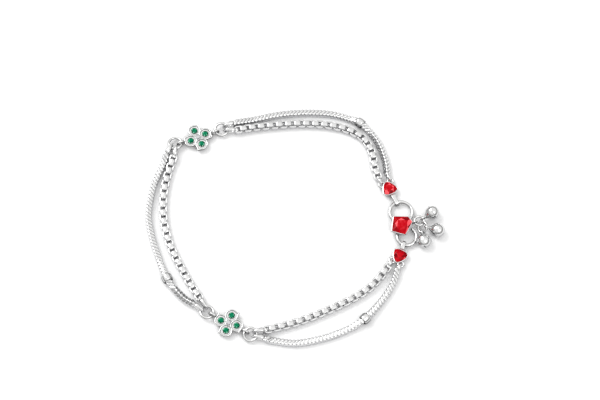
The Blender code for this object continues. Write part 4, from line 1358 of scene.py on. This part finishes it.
# %% [markdown]
# ## The S hook
#
# One piece of wire makes both loops of the S. It leaves the setting of the big red stone on
# each side, and the lower loop stops short of the setting, which is the opening that the end
# setting slips through. Its free end is rounded so that it doesn't scratch.
# %% S hook and its stone
UPPER_TURN = math.radians(280)
LOWER_TURN = math.radians(270)
HOOK_LEAVE = math.radians(40)
CLASP_STONE_REACH = 3.8 * MM
CLASP_STONE_CORNERS = ((130, 1.0), (55, 0.9), (20, 0.88), (-72, 0.82), (-150, 0.94))
CLASP_WALL = 0.35 * MM
CLASP_RIM = 2.9 * MM
CLASP_BASE = HOOK_LEVEL - HOOK_WIRE / 4
CLASP_POCKET = HOOK_LEVEL + HOOK_WIRE / 2 + 0.05 * MM
CLASP_GIRDLE = 2.93 * MM
CLASP_TABLE = 3.7 * MM


def loop_points(loop, start, turn, steps=48):
    """Places along a part of one of the hook's loops."""
    radius = (loop["diameter"] - HOOK_WIRE) / 2
    centre = plan(loop["centre"], HOOK_LEVEL)
    angles = [start + turn * i / steps for i in range(steps + 1)]
    return [centre + Vector((*on_circle(radius, angle), 0)) for angle in angles]


def wire_along(points, wire):
    """A round wire along level points, with a rounded free end at the last one."""
    path = [(point, 1.0) for point in points]
    along = (points[-1] - points[-2]).normalized()
    for share in (0.35, 0.65, 0.85, 0.97):
        path.append((points[-1] + along * wire / 2 * share, math.sqrt(1 - share**2)))
    rings = []
    for i, (point, size) in enumerate(path):
        ahead = path[min(i + 1, len(path) - 1)][0] - path[max(i - 1, 0)][0]
        rings.append(round_section(point, left_of(ahead).normalized(), wire / 2 * size))
    return joined_rings(rings)


line = plan(LOWER_LOOP["centre"]) - plan(UPPER_LOOP["centre"])
down = math.atan2(line.y, line.x)
hook_points = loop_points(UPPER_LOOP, down - HOOK_LEAVE, -UPPER_TURN)
hook_points += loop_points(LOWER_LOOP, down + math.pi + HOOK_LEAVE, LOWER_TURN)
HOOK_SHAPE = wire_along(hook_points, HOOK_WIRE)
hook_length = sum((b - a).length for a, b in zip(hook_points, hook_points[1:]))
print("hook wire:", round(hook_length / MM, 1), "mm")

# %% [markdown]
# The stone in the middle is a lopsided five-sided shape, given by its corners. The reach in a
# direction is where a line from the middle crosses one of the sides, and with that the same
# cup serves again.
# %% Outline of the five-sided stone
clasp_corners = [
    CLASP_STONE_REACH * share * heading(degrees).to_2d()
    for degrees, share in reversed(CLASP_STONE_CORNERS)
]


def clasp_reach(angle):
    """The reach of the five-sided outline in one direction."""
    out = Vector((math.cos(angle), math.sin(angle)))
    for i, here in enumerate(clasp_corners):
        there = clasp_corners[i - 1]
        edge = there - here
        cross = out.x * edge.y - out.y * edge.x
        if abs(cross) < 1e-12:
            continue
        reach = (here.x * edge.y - here.y * edge.x) / cross
        share = (here.x * out.y - here.y * out.x) / cross
        if reach > 0 and -1e-9 <= share <= 1 + 1e-9:
            return reach
    return 0.0


print("reach to the right:", round(clasp_reach(0.0) / MM, 2), "mm")

# %% [markdown]
# The cup is soldered on the hook's wire, with a small ear at one side for the bells. The stone
# is cut by the same function as the others, only with five corners.
# %% The hook's setting and stone
BELL_HEADINGS = (19, -66)
BELL_EAR_WIRE = 0.5 * MM
BELL_EAR_HEIGHT = 2.1 * MM
BELL_EAR_LENGTH = 2.0 * MM
BELL_EAR_INNER = 3.47 * MM
BELL_DIAMETER = 4.5 * MM
BELL_SEAM = 0.2 * MM
BELL_LEVEL = BELL_DIAMETER / 2 + BELL_SEAM + FLOOR_GAP
BELL_RING_LEVEL = BELL_LEVEL - 0.6 * MM
clasp_place = Matrix.Translation(plan(CLASP_CENTRE))
clasp_cup = cup_shape(clasp_reach, CLASP_BASE, CLASP_RIM, CLASP_POCKET, CLASP_WALL, count=120)
toward = heading(BELL_HEADINGS[0])
ear_middle = plan(CLASP_CENTRE, BELL_RING_LEVEL) + toward * (BELL_EAR_INNER + BELL_EAR_LENGTH / 2)
ear_place = placed(ear_middle, toward)
bell_ear = standing_ring(BELL_EAR_LENGTH, BELL_EAR_HEIGHT, BELL_EAR_WIRE, ear_place)
hook_mesh = mesh_of("s_hook", together([HOOK_SHAPE, moved(clasp_cup, clasp_place), bell_ear]))
piece("s_hook_wire_and_cup", hook_mesh, WIRE_SILVER, ["s_hook"])
corners = [corner * (1 + STONE_LIP / corner.length) for corner in clasp_corners]
middles = [(here + there) / 2 for here, there in zip(corners, corners[1:] + corners[:1])]
stone = cut_stone(
    "five_sided", corners, middles, CLASP_POCKET + STONE_GAP,
    CLASP_GIRDLE, CLASP_TABLE, 0.5, seed=21,
)
piece("cut_clasp_stone", stone, RUBY, ["clasp_stone"], clasp_place)
print("hook piece:", len(hook_mesh.polygons), "faces; stone:", len(stone.polygons), "facets")

# %% [markdown]
# ## Bells
#
# The three ghungroo bells are hollow balls of thin silver. Each has a raised seam round its
# middle, a flared neck with a loop, and a slit that lets it sound. The wall is one outline
# turned about the bell's axis, from the neck over the seam to the mouth and back inside.
# %% Outline of a bell
BELL_WALL = 0.35 * MM
BELL_SLIT = 0.4 * MM
BELL_LOOP_WIRE = 0.6 * MM
BELL_LOOP_DIAMETER = 2.2 * MM
BELL_NECK = 0.5 * MM
BELL_FLARE = (
    (-0.5, 0.0), (-0.5, 0.6), (-0.45, 0.68), (-0.1, 0.86), (0.3, 1.2), (0.6, 1.5), (0.72, 1.68),
)
BELL_SEAM_SHAPE = ((-0.2, 0), (-0.17, 0.75), (-0.08, 1), (0.08, 1), (0.17, 0.75), (0.2, 0))


def bell_profile():
    """Along and radius, from the neck over the seam to the mouth, and back inside."""
    radius = BELL_DIAMETER / 2
    profile = [(along * MM - radius, reach * MM) for along, reach in BELL_FLARE]
    seam = list(BELL_SEAM_SHAPE)
    for i in range(10, 33):
        x, reach = on_circle(radius, math.pi * (1 - i / 36))
        if abs(x) > BELL_SEAM + 0.02 * MM:
            profile.append((x, reach))
        elif seam:
            profile += [(along * MM, radius + share * BELL_SEAM) for along, share in seam]
            seam = []
    profile.append((radius, 0.0))
    inner = [on_circle(radius - BELL_WALL, math.pi * i / 16) for i in range(17)]
    return profile + inner


print("a bell's outline has", len(bell_profile()), "places")

# %% [markdown]
# The slit is cut through the ball with a box that starts below the seam. Only the lower part
# is slit, as the photograph shows the upper side whole. The loop stands on edge at the neck.
# %% One bell
SLIT_START = 0.75 * MM
SLIT_SIDES = ((-1, -1), (1, -1), (1, 0.1), (-1, 0.1))


def bell_mesh():
    ball = loose("ball", turned_shape(bell_profile(), 48))
    slit_box = joined_rings([
        [(x, y * BELL_SLIT / 2, z * BELL_DIAMETER) for y, z in SLIT_SIDES]
        for x in (SLIT_START, BELL_DIAMETER)
    ])
    body = shape_of(boolean(ball, [loose("slit", slit_box)], "DIFFERENCE"))
    loop_at = -(BELL_DIAMETER / 2 + BELL_NECK + (BELL_LOOP_DIAMETER - BELL_LOOP_WIRE) / 2)
    on_edge = Matrix.Translation((loop_at, 0, 0)) @ Matrix.Rotation(math.pi / 2, 4, "X")
    loop = moved(wire_ring(BELL_LOOP_DIAMETER, BELL_LOOP_WIRE, 36, 12), on_edge)
    return mesh_of("bell", together([body, loop]), sharp=40)


BELL_MESH = bell_mesh()
print("bell:", len(BELL_MESH.polygons), "faces")

# %% [markdown]
# The first ring hangs on the setting's ear and the second on the first. Each bell pulls on
# its ring towards where the photograph shows it and rests on the ground, which gives the
# small rise of its axis.
# %% Bell rings and bells
BELL_RINGS = (
    {"diameter": 3.8 * MM, "wire": 0.75 * MM, "tilt": 0.0},
    {"diameter": 4.0 * MM, "wire": 0.65 * MM, "tilt": math.radians(40)},
)
BELLS = (("bell_upper", 0, 33), ("bell_right", 1, -15), ("bell_lower", 1, -86))


def bell_ring_frames():
    frames = []
    ear_wire_at = BELL_EAR_INNER + BELL_EAR_LENGTH - BELL_EAR_WIRE / 2
    place = plan(CLASP_CENTRE, BELL_RING_LEVEL) + heading(BELL_HEADINGS[0]) * ear_wire_at
    wire_before = BELL_EAR_WIRE
    for ring, degrees in zip(BELL_RINGS, BELL_HEADINGS):
        radius = (ring["diameter"] - ring["wire"]) / 2
        pull = radius - (ring["wire"] + wire_before) / 2 - LINK_GAP
        centre = place + heading(degrees) * pull
        frames.append(placed(centre, heading(degrees)) @ Matrix.Rotation(ring["tilt"], 4, "X"))
        wire_before = ring["wire"]
        place = centre + heading(BELL_HEADINGS[1]) * radius
    return frames


def bell_frame(ring, ring_frame, degrees):
    toward = heading(degrees)
    turn = ring_frame.to_3x3()
    local = turn.inverted() @ toward
    angle = math.atan2(local.y / math.cos(ring["tilt"]) ** 2, local.x)
    outwards = turn @ Vector((math.cos(angle), math.sin(angle), 0))
    tangent = turn @ Vector((-math.sin(angle), math.cos(angle), 0))
    place = ring_frame.translation + outwards * (ring["diameter"] - ring["wire"]) / 2
    pull = (ring["wire"] + BELL_LOOP_WIRE) / 2 + LINK_GAP
    reach = BELL_LOOP_DIAMETER - BELL_LOOP_WIRE - pull + BELL_NECK + BELL_DIAMETER / 2
    rise = (BELL_LEVEL - place.z) / reach
    along = (toward * math.sqrt(1 - rise**2) + Vector((0, 0, rise))).normalized()
    across = (tangent - along * tangent.dot(along)).normalized()
    axes = Matrix((along, across, along.cross(across))).transposed()
    return Matrix.Translation(place + along * reach) @ axes.to_4x4()


ring_frames = bell_ring_frames()
for number, (ring, place) in enumerate(zip(BELL_RINGS, ring_frames), start=1):
    mesh = mesh_of(f"bell_ring_{number}", wire_ring(ring["diameter"], ring["wire"]))
    piece(f"bell_wire_ring_{number}", mesh, WIRE_SILVER, [f"bell_ring_{number}"], matrix=place)
for name, number, degrees in BELLS:
    place = bell_frame(BELL_RINGS[number], ring_frames[number], degrees)
    piece(f"ghungroo_{name}", BELL_MESH, BELL_SILVER, [name], matrix=place)
print("bells:", ", ".join(name for name, _, _ in BELLS))

# %% [markdown]
# ## Finish
#
# The finished pieces have to fill the same box as the solids.
# %% Update the scene
bpy.context.view_layer.update()
